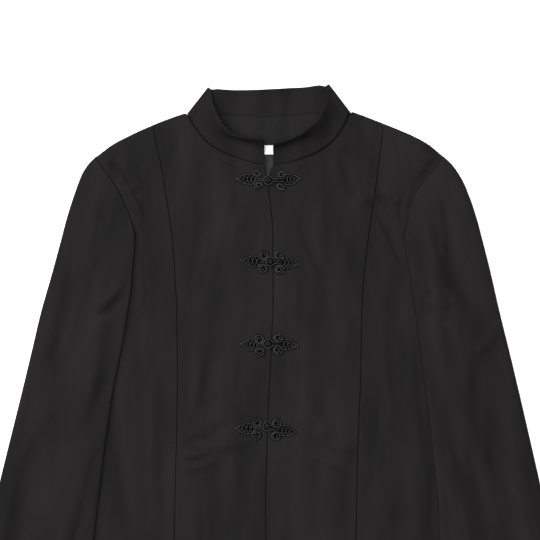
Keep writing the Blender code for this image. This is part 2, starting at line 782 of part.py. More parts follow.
def tube(name, outer, inner, finish):
    """A closed tube wall between two grids of rings, open at both ends."""
    rows, ring = outer.shape[:2]
    count = rows * ring
    faces = []
    for c in range(ring):
        d = (c + 1) % ring
        for r in range(rows - 1):
            quad = (r * ring + c, (r + 1) * ring + c, (r + 1) * ring + d, r * ring + d)
            faces += split(*quad)
            faces += split(*(count + i for i in quad))
        for r in (0, rows - 1):
            a, b = r * ring + c, r * ring + d
            faces += split(a, b, count + b, count + a)
    return solid(name, np.concatenate([outer.reshape(-1, 3), inner.reshape(-1, 3)]), faces, finish)


def collar_stations():
    """The collar's stations in order round the neck, as rows of seam point, top point and bow."""

    def rows(source):
        seam = np.stack([source["seam_x"], source["seam_y"], source["seam_z"]], -1)
        top = np.stack([source["top_x"], source["top_y"], source["top_z"]], -1)
        return np.concatenate([seam, top, source["bow"][:, None]], 1)

    def crease(index, turn):
        """Stations round a crease, from the front layer down to the back one or up again."""
        line = {name: column[index] for name, column in COLLAR_CREASE.items()}
        seam = np.array([line["seam_x"], line["seam_y"], line["seam_z"]])
        top = np.array([line["top_x"], line["top_y"], line["top_z"]])
        along = (top - seam)[:2] / np.linalg.norm((top - seam)[:2])
        outward = line["side"] * np.array([along[1], -along[0]])
        made = []
        for angle in turn:
            bend = COLLAR_FOLD_RADIUS * (math.cos(angle) - 1.0)
            rise = COLLAR_FOLD_RADIUS * math.sin(angle)
            shift = np.array([outward[0] * bend, outward[1] * bend, rise])
            made.append(np.concatenate([seam + shift, top + shift, [0.0]]))
        return np.array(made)

    down = np.radians([75.0, 38.0, 0.0, -38.0, -75.0])
    return np.concatenate(
        [
            rows(COLLAR_LEFT),
            crease(0, down),
            rows(COLLAR_BACK),
            crease(1, down[::-1]),
            rows(COLLAR_RIGHT)[::-1],
        ]
    )


def collar_middle(stations, heights):
    """The collar's middle surface: a row for each height and a column for each station."""
    seam, top, bow = stations[:, :3], stations[:, 3:6], stations[:, 6]
    line = top - seam
    length = np.linalg.norm(line, axis=1)[:, None]
    flat = np.linalg.norm(line[:, :2], axis=1)[:, None]
    inward = np.concatenate([line[:, :2] / flat * line[:, 2:], -flat], 1) / length
    return np.array([seam + line * h + inward * (4.0 * h * (1.0 - h) * bow)[:, None] for h in heights])


def collar():
    """The stand collar, one band from the left edge of the slit round the neck to the right."""
    middle = collar_middle(collar_stations(), np.linspace(0.0, 1.0, 5))
    along, up = np.gradient(middle, axis=1), np.gradient(middle, axis=0)
    normal = np.cross(up, along)
    normal /= np.linalg.norm(normal, axis=-1, keepdims=True)
    return slab("collar", middle + normal * WALL / 2.0, middle - normal * WALL / 2.0, CLOTH)


def back_facing():
    """The facing inside the back of the neck, seen through the collar."""
    low = WALL + SEAM_GAP
    seam = course(np.stack([COLLAR_BACK["seam_x"], COLLAR_BACK["seam_y"] - FACING_SEAM_DROP], -1))
    rows = {side: np.stack([FACING_SIDES[side + "_x"], FACING_SIDES[side + "_y"]], -1) for side in SIDES}
    left = course(np.vstack([seam(0.0), rows["left"]]))
    right = course(np.vstack([seam(1.0), rows["right"]]))
    bottom = course([left(1.0), right(1.0)])
    u, v = grid(np.linspace(0.0, 1.0, 9), np.linspace(0.0, 1.0, 6))
    plan = patch(left, right, seam, bottom, u, v)
    return sheet_between("back_facing", plan, low + FACING_THICKNESS, low, FACING_CLOTH)


def lining():
    """The strip of back lining that the slit shows below the facing."""
    low = WALL + SEAM_GAP
    u, v = grid(np.linspace(LINING_LEFT, LINING_RIGHT, 3), np.linspace(LINING_TOP, LINING_BOTTOM, 3))
    plan = np.stack([u, v], -1)
    return sheet_between("back_lining", plan, low + FACING_THICKNESS, low, SATIN)


def label():
    """The bare woven label on the facing."""
    width, depth, thickness = LABEL_SIZE
    low = WALL + 2.0 * SEAM_GAP + FACING_THICKNESS
    x, y = LABEL_MIDDLE
    u, v = grid([x - width / 2.0, x + width / 2.0], [y + depth / 2.0, y - depth / 2.0])
    return sheet_between("neck_label", np.stack([u, v], -1), low + thickness, low, WHITE_TAPE)


class Fronts:
    """The upper side of the finished fronts, for what lies on them."""

    def __init__(self, panels):
        self.trees = []
        for panel in panels:
            shape = bmesh.new()
            shape.from_mesh(panel.data)
            self.trees.append(BVHTree.FromBMesh(shape))
            shape.free()

    def height(self, x, y):
        """Height under a plan point, taking the higher side where two panels meet."""
        found = []
        for dx in (0.0, -0.7, 0.7):
            for tree in self.trees:
                hit = tree.ray_cast(Vector(((x + dx) * MM, y * MM, 1.0)), Vector((0.0, 0.0, -1.0)))
                if hit[0]:
                    found.append(hit[0].z / MM)
        return max(found) if found else float(front_top(np.array([x, y])))


def lathe(middle, profile, sides, towards=(1.0, 0.0), roundness=1.0):
    """A turned form on an upright axis, squeezed across the direction that it points in."""
    long_axis = np.array(towards, float) / np.linalg.norm(towards)
    wide_axis = np.array([-long_axis[1], long_axis[0]]) * roundness
    points = []
    for radius, height in profile[1:-1]:
        for k in range(sides):
            turn = 2.0 * math.pi * k / sides
            x, y = middle + radius * (math.cos(turn) * long_axis + math.sin(turn) * wide_axis)
            points.append((x, y, height))
    last = len(points)
    points.append((*middle, profile[0][1]))
    points.append((*middle, profile[-1][1]))
    faces = []
    rings = len(profile) - 2
    for k in range(sides):
        j = (k + 1) % sides
        faces.append((last, k, j))
        for r in range(rings - 1):
            faces += split(r * sides + k, (r + 1) * sides + k, (r + 1) * sides + j, r * sides + j)
        faces.append((last + 1, (rings - 1) * sides + j, (rings - 1) * sides + k))
    return points, faces


def cord(route, radius, sides=5):
    """A closed round cord along a route of points."""
    route = np.asarray(route, float)
    ahead = np.gradient(route, axis=0)
    ahead /= np.linalg.norm(ahead, axis=1)[:, None]
    across = np.cross(ahead, (0.0, 0.0, 1.0))
    across /= np.linalg.norm(across, axis=1)[:, None]
    up = np.cross(across, ahead)
    points = []
    for place, a, b in zip(route, across, up):
        for k in range(sides):
            turn = 2.0 * math.pi * (k + 0.5) / sides
            points.append(place + radius * (math.cos(turn) * a + math.sin(turn) * b))
    faces = [tuple(range(sides)), tuple(len(points) - 1 - k for k in range(sides))]
    for r in range(len(route) - 1):
        for k in range(sides):
            j = (k + 1) % sides
            faces += split(r * sides + k, (r + 1) * sides + k, (r + 1) * sides + j, r * sides + j)
    return points, faces


def wing(root, tip):
    """The leaf of a frog, from between its coils out to its tip, with a raised rim."""
    root, tip = np.array(root, float), np.array(tip, float)
    length = np.linalg.norm(tip - root)
    along = (tip - root) / length
    across = np.array([-along[1], along[0]])
    half = WING_HALF_WIDTH * WING["width"][:, None] * WING_SECTION["step"]
    plan = root + along * (WING["share"] * length)[:, None, None] + across * half[..., None]
    upper = np.concatenate([plan, np.broadcast_to(WING_SECTION["rise"], plan.shape[:2])[..., None]], -1)
    lower = np.concatenate([plan, np.zeros(plan.shape[:2])[..., None]], -1)
    return upper, lower


def fused(name, pieces):
    """One body from overlapping closed objects."""
    base = pieces[0]
    for piece in pieces[1:]:
        joint = base.modifiers.new("join", "BOOLEAN")
        joint.operation = "UNION"
        joint.object = piece
    bpy.context.view_layer.update()
    mesh = bpy.data.meshes.new_from_object(base.evaluated_get(bpy.context.evaluated_depsgraph_get()))
    mesh.name = name
    for piece in pieces:
        bpy.data.objects.remove(piece)
    made = bpy.data.objects.new(name, mesh)
    bpy.context.scene.collection.objects.link(made)
    return made


# A coil in section, from its crown down to its underside
COIL_PROFILE = (
    (0.0, COIL_HEIGHT + COIL_CROWN),
    (0.4 * COIL_RADIUS, COIL_HEIGHT - COIL_HOLLOW),
    (0.68 * COIL_RADIUS, COIL_HEIGHT),
    (COIL_RADIUS, COIL_SHOULDER),
    (COIL_RADIUS, 0.0),
    (0.0, 0.0),
)


def frog_half(number, row, side, fronts):
    """One half of a frog: two coils and a wing, with the stem of the knot or the loop round it."""
    knot = np.array([row["knot_x"], row["knot_y"]])
    tip = np.array([row[side + "_x"], row[side + "_y"]])
    coils = [np.array([row[f"{side}_{place}_x"], row[f"{side}_{place}_y"]]) for place in ("top", "low")]
    pieces = []
    for coil in coils:
        shape = lathe(coil, COIL_PROFILE, 12, knot - coil, row["roundness"])
        pieces.append(solid("coil", *shape, BRAID))
    middle = (coils[0] + coils[1]) / 2.0
    outward = (tip - middle) / np.linalg.norm(tip - middle)
    pieces.append(slab("wing", *wing(middle + outward * WING_START, tip), BRAID))
    root = middle + outward * CORD_START
    if side == "left":
        stem = [(*(root + (knot - root) * t), STEM_HEIGHT) for t in (0.0, 0.4, 0.75, 1.0)]
        pieces.append(solid("stem", *cord(stem, STEM_RADIUS), BRAID))
    else:
        pieces.append(solid("loop", *cord(loop_route(knot, root), CORD_RADIUS), BRAID))
    made = fused(f"frog_{number}_{side}", pieces)
    for vertex in made.data.vertices:
        x, y = vertex.co.x / MM, vertex.co.y / MM
        vertex.co.z += (fronts.height(x, y) + SEAM_GAP) * MM
    made.data.shade_smooth()
    return made


def loop_route(knot, root):
    """The loop's cord: out of the wing's root, round the knot and back."""
    radius = KNOT_RADIUS + CORD_RADIUS + LOOP_GAP
    towards = math.atan2(*(root - knot)[::-1])
    route = []
    for turn in towards + np.radians(np.linspace(30.0, 330.0, 10)):
        x, y = knot + radius * np.array([math.cos(turn), math.sin(turn)])
        route.append((x, y, LOOP_HEIGHT))
    aside = np.array([-math.sin(towards), math.cos(towards)]) * LOOP_SPREAD
    near = knot + (root - knot) * 0.72
    start = [(*(root + aside), COIL_SHOULDER), (*(near + aside), LOOP_RISE)]
    end = [(*(near - aside), LOOP_RISE), (*(root - aside), COIL_SHOULDER)]
    return start + route + end


def frog_knot(number, row, fronts):
    """The ball of a frog's knot, on its stem."""
    knot = np.array([row["knot_x"], row["knot_y"]])
    low = STEM_HEIGHT + STEM_RADIUS + SEAM_GAP
    profile = []
    for angle in np.radians([90.0, 52.0, 18.0, -18.0, -52.0, -90.0]):
        profile.append((KNOT_RADIUS * math.cos(angle), low + KNOT_RADIUS * (1.0 + math.sin(angle))))
    made = solid(f"frog_{number}_knot", *lathe(knot, profile, 10), BRAID)
    lift = (fronts.height(*knot) + SEAM_GAP) * MM
    for vertex in made.data.vertices:
        vertex.co.z += lift
    return made


def main():
    for old in list(bpy.data.objects):
        bpy.data.objects.remove(old)
    back()
    back_facing()
    lining()
    label()
    panels = [front_side(side) for side in SIDES] + [front_centre(side) for side in SIDES]
    for side in SIDES:
        sleeve(side)
    collar()
    fronts = Fronts(panels)
    for index in range(len(FROGS["knot_x"])):
        row = {name: column[index] for name, column in FROGS.items()}
        for side in SIDES:
            frog_half(index + 1, row, side, fronts)
        frog_knot(index + 1, row, fronts)


main()
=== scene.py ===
"""Mandarin collar blazer laid flat: its cloth, cord frogs, floor and light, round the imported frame.

Plan positions are in millimetres, X across the garment and Y up it towards the collar; a mesh is
made in metres. Left and right are the viewer's.
"""
import math

import bmesh
import bpy
import numpy as np
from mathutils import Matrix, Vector


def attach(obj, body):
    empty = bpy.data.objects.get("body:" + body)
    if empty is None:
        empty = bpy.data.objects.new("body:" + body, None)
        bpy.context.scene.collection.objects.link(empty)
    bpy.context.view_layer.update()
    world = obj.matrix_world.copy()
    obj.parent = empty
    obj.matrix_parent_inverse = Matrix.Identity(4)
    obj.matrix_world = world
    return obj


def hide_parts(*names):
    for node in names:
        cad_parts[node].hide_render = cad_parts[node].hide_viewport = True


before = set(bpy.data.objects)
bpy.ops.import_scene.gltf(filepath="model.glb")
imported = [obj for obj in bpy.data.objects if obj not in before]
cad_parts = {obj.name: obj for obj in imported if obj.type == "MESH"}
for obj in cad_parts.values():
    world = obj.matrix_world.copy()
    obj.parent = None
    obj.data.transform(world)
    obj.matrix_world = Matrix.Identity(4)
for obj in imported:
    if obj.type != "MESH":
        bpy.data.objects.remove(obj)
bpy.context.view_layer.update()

bl_info = {
    "name": "Mandarin collar blazer",
    "version": (1, 0, 0),
    "blender": (4, 5, 0),
    "location": "3D View > Sidebar > Blazer",
    "description": "Dresses the packed blazer in cloth and cord and lights it on a pale floor",
    "category": "Add Mesh",
}

MM = 0.001
SIDES = {"left": -1.0, "right": 1.0}
# Heights, clearances and depths of the cloth, which follows the solids
WALL = 2.0
SEAM_GAP = 0.3
ARMHOLE_GAP = 0.5
UNDERARM_LAP = 2.6
UNDERARM_LAP_REACH = 45.0
LAYER_GAP = 0.4
UNDERARM_LEVEL = 172.0
SHOULDER_LEVEL = 268.0
HEM_SIDE = -318.0
HEM_CENTRE = -331.0
BACK_HEM_DROP = 3.0
FLANGE_TOP = 2.0 * WALL + LAYER_GAP
ARMHOLE_TOP = 6.0
ARMHOLE_BLEND = 40.0
BODY_TOP = 6.2
CHEST_LIFT = 0.5
CHEST_LEVEL = 190.0
CHEST_BLEND = 80.0
SHOULDER_PAD = 2.0
SHOULDER_PAD_REACH = 75.0
EDGE_ROUNDING = 12.0
EDGE_FLAT = 3.0
FOLD_DEPTH = 2.8
FRONT_LOW = 4.1
SLEEVE_LOW = 0.6
LOW_EASE = 0.5
SLEEVE_HOLLOW = 3.0
SLEEVE_HOLLOW_ON_BODY = 1.4
SLEEVE_HEAD = 0.8
SLEEVE_HEAD_LEVEL = 150.0
SLEEVE_HEAD_BLEND = 90.0
SLEEVE_EDGE_RADIUS = 7.0
SLEEVE_LANDING = 30.0
SLEEVE_CLEAR = 22.0
SLEEVE_DROP = 22.0
COLLAR_FOLD_RADIUS = 2.5
COLLAR_HEIGHT = 32.0
COLLAR_BOW = 1.6
FRONT_SHARE = 0.3
FACING_SEAM_DROP = 1.1
SEAM_TURNING = 1.6
BACK_SEAM_TURNING = 0.9
LABEL_SIZE = (50.0, 10.8, 0.8)
LABEL_MIDDLE = (-1.0, 276.4)
COIL_RADIUS = 5.9
COIL_TURNS = 2.45
COIL_START = 1.0
# The dark matt cloth under the frogs is painted shade: it darkens the gaps between the cords, and its margin
# paints a shadow round them
SHADE_FELT_MARGIN = 0.4
SHADE_FELT_THICKNESS = 0.4
WING_HALF_WIDTH = 6.8
KNOT_RADIUS = 3.6
# Thickness and edges of single pieces
FLAT_THICKNESS = 1.0
CUFF_ROUNDING = 0.8
BACK_HEM_BLEND = 60.0
SLEEVE_SLANT = 30.0
SLEEVE_GRAIN = 14.0
# Where the head of a sleeve is tucked beneath the armhole seam
TUCKED_LOW = 0.15
TUCKED_RISE = 0.5
TUCKED_WALL = 0.3
# Lower edges of the collar, tucked in front of and behind the seam
COLLAR_TUCK_FRONT = 1.3
COLLAR_TUCK_BACK = 0.5
COLLAR_TUCK_LOW = 1.1
# Usual widths of the pieces, which set how many columns of points each one has
BACK_WIDTH = 420.0
SIDE_PANEL_WIDTH = 125.0
CENTRE_PANEL_WIDTH = 115.0
SLEEVE_WIDTH = 130.0
FACING_SIZE = (150.0, 50.0)
# The strip of lining: its upper left corner, its size, and the hollow along the slit
LINING_CORNER = (-27.0, 270.7)
LINING_SIZE = (51.0, 36.7)
LINING_SAG = 0.85
LINING_SAG_MIDDLE = -1.2
LINING_SAG_REACH = 3.4
# Radii of the cords, and how the two plies of a cord share its radius
COIL_CORD = 0.98
RIM_CORD = 0.95
STRAND_CORD = 0.62
STEM_CORD = 0.85
LOOP_CORD = 1.05
KNOT_CORD = 0.85
PLY_CORE = 0.72
PLY_RIDGE = 0.28
# Middle lines of the cords: heights over the cloth, and places in from the wing's edge
COIL_HEIGHT = 2.1
COIL_FALL = 0.9
RIM_HEIGHT = 1.0
RIM_INSET = 0.9
STRAND_HEIGHT = 0.95
STRAND_WEAVE = 0.45
STRAND_INSET = 2.3
STRAND_WAVES = 2.5
# The doubled stem that carries a knot, and the loop that goes round it
STEM_APART = 0.95
STEM_TAPER = 0.8
STEM_HEIGHTS = (1.0, 1.1, 1.2)
LOOP_ROOM = 1.1
LOOP_GAP = 0.35
LOOP_HEIGHT = 4.3
LOOP_APART = 1.6
LOOP_NEAR = 0.72
LOOP_NEAR_HEIGHT = 2.9
LOOP_ROOT_HEIGHT = 1.4
# Where the wing and the cords of the closure start, out from the middle of the coils
WING_ROOT = 2.4
WING_TIP = 0.8
CORD_ROOT = 4.0
# Light: what it aims at, and where each lamp stands, in metres
LIGHT_AIM = (0.0, 0.1, 0.0)
SOFTBOX_PLACE = (-0.4, 0.55, 3.0)
SOFTBOX_SIZE = 2.2
KEY_PLACE = (-1.1, 0.6, 1.1)
KEY_ANGLE = 32.0
FLOOR_HALF = 30.0
FLOOR_LEVEL = -0.0002


def table(columns, *rows):
    """Rows of numbers under named columns, as one array for each column."""
    return dict(zip(columns.split(), np.array(rows, float).T))


# Shoulder line, from the collar to the top of the armhole
SHOULDER = table(
    "left_x left_y right_x right_y",
    (-95.6, 320.2, 94.3, 321.9),
    (-105.0, 317.2, 105.0, 318.2),
    (-128.3, 308.6, 125.0, 310.5),
    (-147.6, 300.4, 151.2, 300.0),
    (-165.0, 292.2, 168.0, 292.7),
    (-181.1, 283.8, 184.0, 284.1),
    (-202.6, SHOULDER_LEVEL, 203.5, SHOULDER_LEVEL),
)
# Body outline at each level: the armhole seam, the underarm and the side seam down to the hem. Just
# below the underarm it goes up to 6.5 mm further under the sleeve than the solid does
BODY_EDGE = table(
    "level left right",
    (SHOULDER_LEVEL, -202.6, 203.5),
    (254, -193.6, 193.2),
    (241, -184.2, 181.4),
    (225, -174.6, 172.0),
    (204, -166.0, 165.2),
    (190, -161.7, 162.3),
    (UNDERARM_LEVEL, -158.9, 159.8),
    (160, -163.0, 164.0),
    (148, -167.0, 168.0),
    (125, -172.0, 173.0),
    (100, -183.0, 184.0),
    (84, -198.0, 198.0),
    (76, -207.0, 207.0),
    (60, -209.5, 209.5),
    (0, -204.0, 204.0),
    (-70, -200.0, 200.0),
    (-140, -207.0, 207.0),
    (-200, -222.0, 222.0),
    (-250, -234.0, 234.0),
    (HEM_SIDE, -240.0, 240.0),
)
# Outer silhouette of the sleeves at each level, from the shoulder to the cuff
SLEEVE_OUTER = table(
    "level left right",
    (SHOULDER_LEVEL, -202.9, 203.8),
    (260, -210.7, 212.3),
    (250, -217.4, 219.7),
    (240, -221.7, 225.6),
    (225, -227.1, 232.0),
    (200, -235.2, 240.7),
    (170, -243.2, 248.8),
    (130, -254.0, 258.8),
    (90, -265.5, 267.9),
    (40, -277.4, 280.2),
    (-20, -291.9, 294.4),
    (-80, -306.8, 308.2),
    (-140, -321.6, 321.9),
    (-200, -336.4, 336.5),
    (-260, -351.6, 351.5),
    (-320, -366.0, 366.0),
)
# Inner fold of the sleeves at each level, from the visible underarm to the cuff
SLEEVE_INNER = table(
    "level left right",
    (UNDERARM_LEVEL, -159.2, 160.1),
    (150, -158.7, 160.8),
    (130, -159.1, 164.0),
    (110, -160.8, 166.3),
    (90, -164.0, 169.4),
    (60, -169.0, 172.9),
    (30, -174.6, 176.8),
    (0, -180.8, 180.8),
    (-50, -188.5, 187.2),
    (-100, -194.9, 193.0),
    (-140, -199.7, 196.2),
    (-180, -204.6, 197.6),
    (-230, -215.6, 203.3),
    (-290, -230.2, 221.0),
    (-350, -245.0, 241.0),
)
# Princess seams at each level, from the shoulder to the hem
PRINCESS = table(
    "level left right",
    (302, -135.2, 132.6),
    (280, -130.6, 130.0),
    (250, -124.4, 126.4),
    (220, -119.7, 122.4),
    (190, -115.2, 117.9),
    (160, -111.8, 113.8),
    (130, -109.9, 110.5),
    (100, -108.1, 108.4),
    (60, -107.3, 107.3),
    (0, -106.8, 106.2),
    (-60, -108.0, 103.6),
    (-120, -109.6, 102.2),
    (-180, -110.6, 101.2),
    (-250, -112.5, 102.5),
    (-326, -116.0, 106.0),
)
# Centre front at each level, with the half width of the slit between its two edges
CENTRE = table(
    "level x slit",
    (259.2, -0.5, 5.2),
    (252, -1.8, 2.9),
    (244, -2.3, 0.6),
    (236, -1.4, 0.15),
    (220, 0.7, 0.15),
    (187, 3.9, 0.15),
    (150, 4.2, 0.15),
    (102, 4.7, 0.15),
    (60, 3.0, 0.15),
    (20, 1.4, 0.15),
    (-20, -0.9, 0.15),
    (-50, -2.1, 0.15),
    (-80, -2.9, 0.15),
    (-112, -3.9, 0.15),
    (-178, -3.9, 0.15),
    (HEM_CENTRE, -3.5, 0.15),
)
# Edge of the front panels at the collar, from the shoulder to the slit
NECKLINE = table(
    "left_x left_y right_x right_y",
    (-95.6, 320.2, 94.3, 321.9),
    (-91.6, 311.4, 90.0, 311.6),
    (-84.9, 301.6, 85.8, 303.6),
    (-73.0, 286.7, 74.6, 288.2),
    (-56.9, 276.0, 58.8, 276.3),
    (-37.6, 267.9, 41.2, 268.2),
    (-15.6, 260.8, 21.2, 261.7),
    (-5.7, 259.2, 4.7, 259.2),
)
# The collar at the front: where each station of it is sewn on, where its top edge is, and how far
# it bows in between
COLLAR_LEFT = table(
    "seam_x seam_y seam_z top_x top_y top_z bow",
    (-5.8, 260.7, 5.4, -5.6, 288.2, 23.2, 3.5),
    (-15.3, 262.4, 5.4, -15.2, 288.5, 24.6, 3.5),
    (-26.0, 265.2, 5.4, -23.8, 288.7, 26.8, 3.5),
    (-36.8, 269.3, 5.4, -32.7, 290.0, 28.6, 3.5),
    (-55.8, 277.5, 5.4, -44.7, 295.0, 28.4, 3.0),
    (-71.6, 288.1, 5.4, -54.8, 306.4, 25.2, 2.5),
    (-83.2, 302.8, 5.6, -61.6, 319.5, 20.4, 1.5),
    (-90.0, 312.6, 6.0, -66.2, 334.0, 13.6, 0.5),
)
COLLAR_RIGHT = table(
    "seam_x seam_y seam_z top_x top_y top_z bow",
    (4.8, 260.9, 5.4, 4.2, 283.4, 27.8, 3.5),
    (20.7, 263.2, 5.4, 17.0, 285.2, 28.2, 3.5),
    (30.5, 266.0, 5.4, 25.0, 288.0, 27.8, 3.5),
    (40.4, 269.6, 5.4, 33.2, 291.6, 27.0, 3.5),
    (57.8, 277.6, 5.4, 46.0, 301.2, 24.0, 3.0),
    (73.2, 289.4, 5.4, 56.6, 312.0, 21.0, 2.5),
    (84.3, 305.2, 5.6, 63.4, 325.4, 17.2, 1.5),
    (88.4, 313.6, 6.0, 66.2, 338.6, 12.6, 0.5),
)
# The collar across the back, left to right
COLLAR_BACK = table(
    "seam_x seam_y seam_z top_x top_y top_z bow",
    (-76.0, 319.6, 1.7, -60.5, 347.4, 5.6, 0.2),
    (-56.0, 319.2, 1.7, -45.0, 346.2, 6.4, 0.3),
    (-31.0, 317.6, 1.7, -27.0, 346.0, 7.2, 0.4),
    (-2.0, 316.4, 1.7, -1.0, 347.0, 7.6, 0.5),
    (27.0, 318.0, 1.7, 24.0, 348.4, 7.2, 0.4),
    (53.0, 320.3, 1.7, 43.0, 349.5, 6.4, 0.3),
    (73.0, 320.6, 1.7, 58.0, 351.7, 5.6, 0.2),
)
# Edge of the back at the collar, left to right
BACK_NECK = table(
    "x y",
    (-95.6, 320.2),
    (-93.6, 316.0),
    (-86.0, 316.6),
    (-76.0, 318.0),
    (-56.0, 317.8),
    (-31.0, 316.3),
    (-2.0, 315.1),
    (27.0, 316.7),
    (53.0, 319.0),
    (73.0, 319.1),
    (82.5, 317.7),
    (91.0, 317.0),
    (94.3, 321.9),
)
# The creases at the collar's sides: where each starts and ends in plan, and the height of its
# middle there
COLLAR_CREASE = table(
    "seam_x seam_y seam_z top_x top_y top_z side",
    (-94.2, 319.3, 4.6, -70.6, 349.0, 7.4, -1),
    (92.8, 321.0, 4.6, 68.5, 352.6, 7.4, 1),
)
# Sides of the facing in plan, from the collar down to its lower edge
FACING_SIDES = table(
    "left_x left_y right_x right_y",
    (-77.0, 300.0, 77.0, 302.0),
    (-64.0, 284.0, 65.0, 285.0),
    (-46.0, 271.3, 46.0, 271.3),
)
# Creases in the front: the ends and the middle of each in plan, its half width, and its height,
# which is below zero in a trough
FRONT_FOLDS = table(
    "x0 y0 x1 y1 x2 y2 width height",
    (-186, 262, -177, 247, -164, 226, 6, -1.4),
    (-175, 266, -163, 248, -155, 222, 8, 1.2),
    (-158, 224, -154, 205, -157, 180, 7, 1.4),
    (-58, 222, -72, 150, -84, 88, 13, -1.3),
    (-40, 215, -52, 150, -62, 92, 13, 0.9),
    (-62, 62, -62, 20, -70, -40, 11, -1.1),
    (-104, -84, -72, -76, -38, -52, 8, 1.1),
    (-104, -70, -76, -62, -44, -42, 7, -0.9),
    (-140, 195, -143, 90, -140, -40, 12, -1.1),
    (84, 282, 98, 250, 112, 215, 11, -1.3),
    (34, 222, 55, 150, 92, 52, 13, -1.2),
    (58, 226, 82, 150, 104, 84, 11, 0.9),
    (32, 36, 60, -8, 92, -72, 11, -1.1),
    (48, -58, 74, -50, 100, -82, 9, 0.9),
    (122, 232, 142, 194, 162, 144, 8, -1.6),
    (128, 240, 150, 204, 166, 160, 8, 1.3),
    (150, 222, 156, 196, 160, 168, 6, -1.2),
    (150, 140, 148, 60, 152, -30, 13, -1.1),
    (-60, -170, -64, -250, -66, -350, 26, 1.4),
    (52, -160, 56, -250, 60, -350, 28, 1.5),
    (-166, -150, -172, -250, -178, -350, 18, 1.2),
    (158, -150, 164, -250, 172, -350, 18, 1.2),
    (-4, -200, -4, -270, -4, -350, 12, -0.9),
)
SLEEVE_FOLDS = table(
    "x0 y0 x1 y1 x2 y2 width height",
    (-212, 200, -228, 90, -246, -90, 13, -1.4),
    (-190, 160, -200, 60, -216, -60, 12, 0.9),
    (-262, -40, -280, -150, -296, -260, 13, -1.3),
    (-232, -120, -246, -200, -262, -300, 12, 1.0),
    (198, 238, 220, 110, 240, -40, 14, -1.4),
    (182, 170, 194, 60, 208, -60, 12, 0.9),
    (262, -20, 276, -130, 292, -250, 13, -1.3),
    (226, -90, 236, -190, 258, -300, 12, 1.0),
)
# Each frog, in plan: its knot, the tips of its wings and the middles of its four coils, with how
# round the coils lie
FROGS = table(
    "knot_x knot_y left_x left_y right_x right_y "
    "left_top_x left_top_y left_low_x left_low_y right_top_x right_top_y right_low_x right_low_y "
    "roundness",
    (-1.2, 240.9, -40.8, 242.1, 38.5, 243.3, -15.0, 249.2, -12.8, 235.0, 14.8, 248.0, 13.2, 233.4, 0.64),
    (1.2, 146.4, -35.4, 148.0, 36.2, 142.9, -6.6, 153.6, -7.6, 138.4, 11.2, 154.0, 12.0, 137.2, 1.0),
    (-1.2, 50.8, -35.6, 50.8, 35.6, 48.4, -11.8, 55.6, -11.3, 41.0, 10.6, 58.0, 9.6, 43.2, 1.0),
    (-2.3, -45.5, -42.6, -47.8, 33.2, -53.1, -14.2, -41.2, -15.0, -55.6, 8.6, -41.8, 7.6, -56.6, 1.0),
)
# Small creases that only the cloth has, in the same columns as the folds above
FRONT_CREASES = table(
    "x0 y0 x1 y1 x2 y2 width height",
    (-74, 279, -56, 267, -34, 256, 3.0, -0.6),
    (-66, 268, -50, 258, -32, 249, 3.0, 0.5),
    (-192, 250, -180, 232, -166, 202, 3.2, -0.9),
    (-186, 256, -172, 236, -160, 208, 3.5, 0.8),
    (-170, 262, -160, 242, -152, 214, 4, -0.8),
    (-160, 178, -150, 130, -146, 80, 7, 0.8),
    (-150, 168, -138, 120, -132, 60, 6, -0.7),
    (-48, 252, -62, 246, -92, 244, 6, 0.5),
    (-30, 232, -44, 196, -50, 160, 6, -0.6),
    (-66, 190, -78, 140, -88, 106, 5, 0.6),
    (-76, 48, -84, 0, -98, -50, 6, 0.6),
    (-106, -96, -80, -92, -50, -80, 4, 0.6),
    (-104, -88, -82, -84, -56, -68, 3.5, -0.7),
    (-60, -74, -40, -66, -14, -62, 5, 0.5),
    (92, 262, 104, 236, 116, 204, 6, 0.8),
    (74, 270, 82, 244, 90, 212, 7, 0.5),
    (22, 214, 38, 170, 60, 118, 6, 0.6),
    (70, 168, 88, 120, 100, 78, 5, -0.6),
    (24, -34, 44, -60, 74, -84, 5, -0.7),
    (40, -78, 66, -86, 98, -104, 4, 0.6),
    (112, 246, 130, 212, 152, 170, 4, 0.8),
    (118, 222, 138, 184, 160, 138, 4, -0.9),
    (136, 236, 154, 196, 164, 158, 3.5, -0.8),
    (168, 236, 160, 206, 158, 182, 4, 0.8),
    (132, 60, 138, 0, 140, -70, 8, 0.7),
    (-128, 40, -134, -30, -140, -110, 9, 0.7),
    (-34, -230, -38, -290, -40, -350, 12, -0.8),
    (24, -220, 26, -280, 30, -350, 13, -0.8),
    (-92, -200, -96, -270, -98, -350, 14, -0.8),
    (86, -200, 88, -270, 92, -350, 14, -0.8),
    (-140, -190, -146, -260, -150, -350, 13, -0.8),
    (134, -190, 138, -260, 146, -350, 13, -0.8),
)
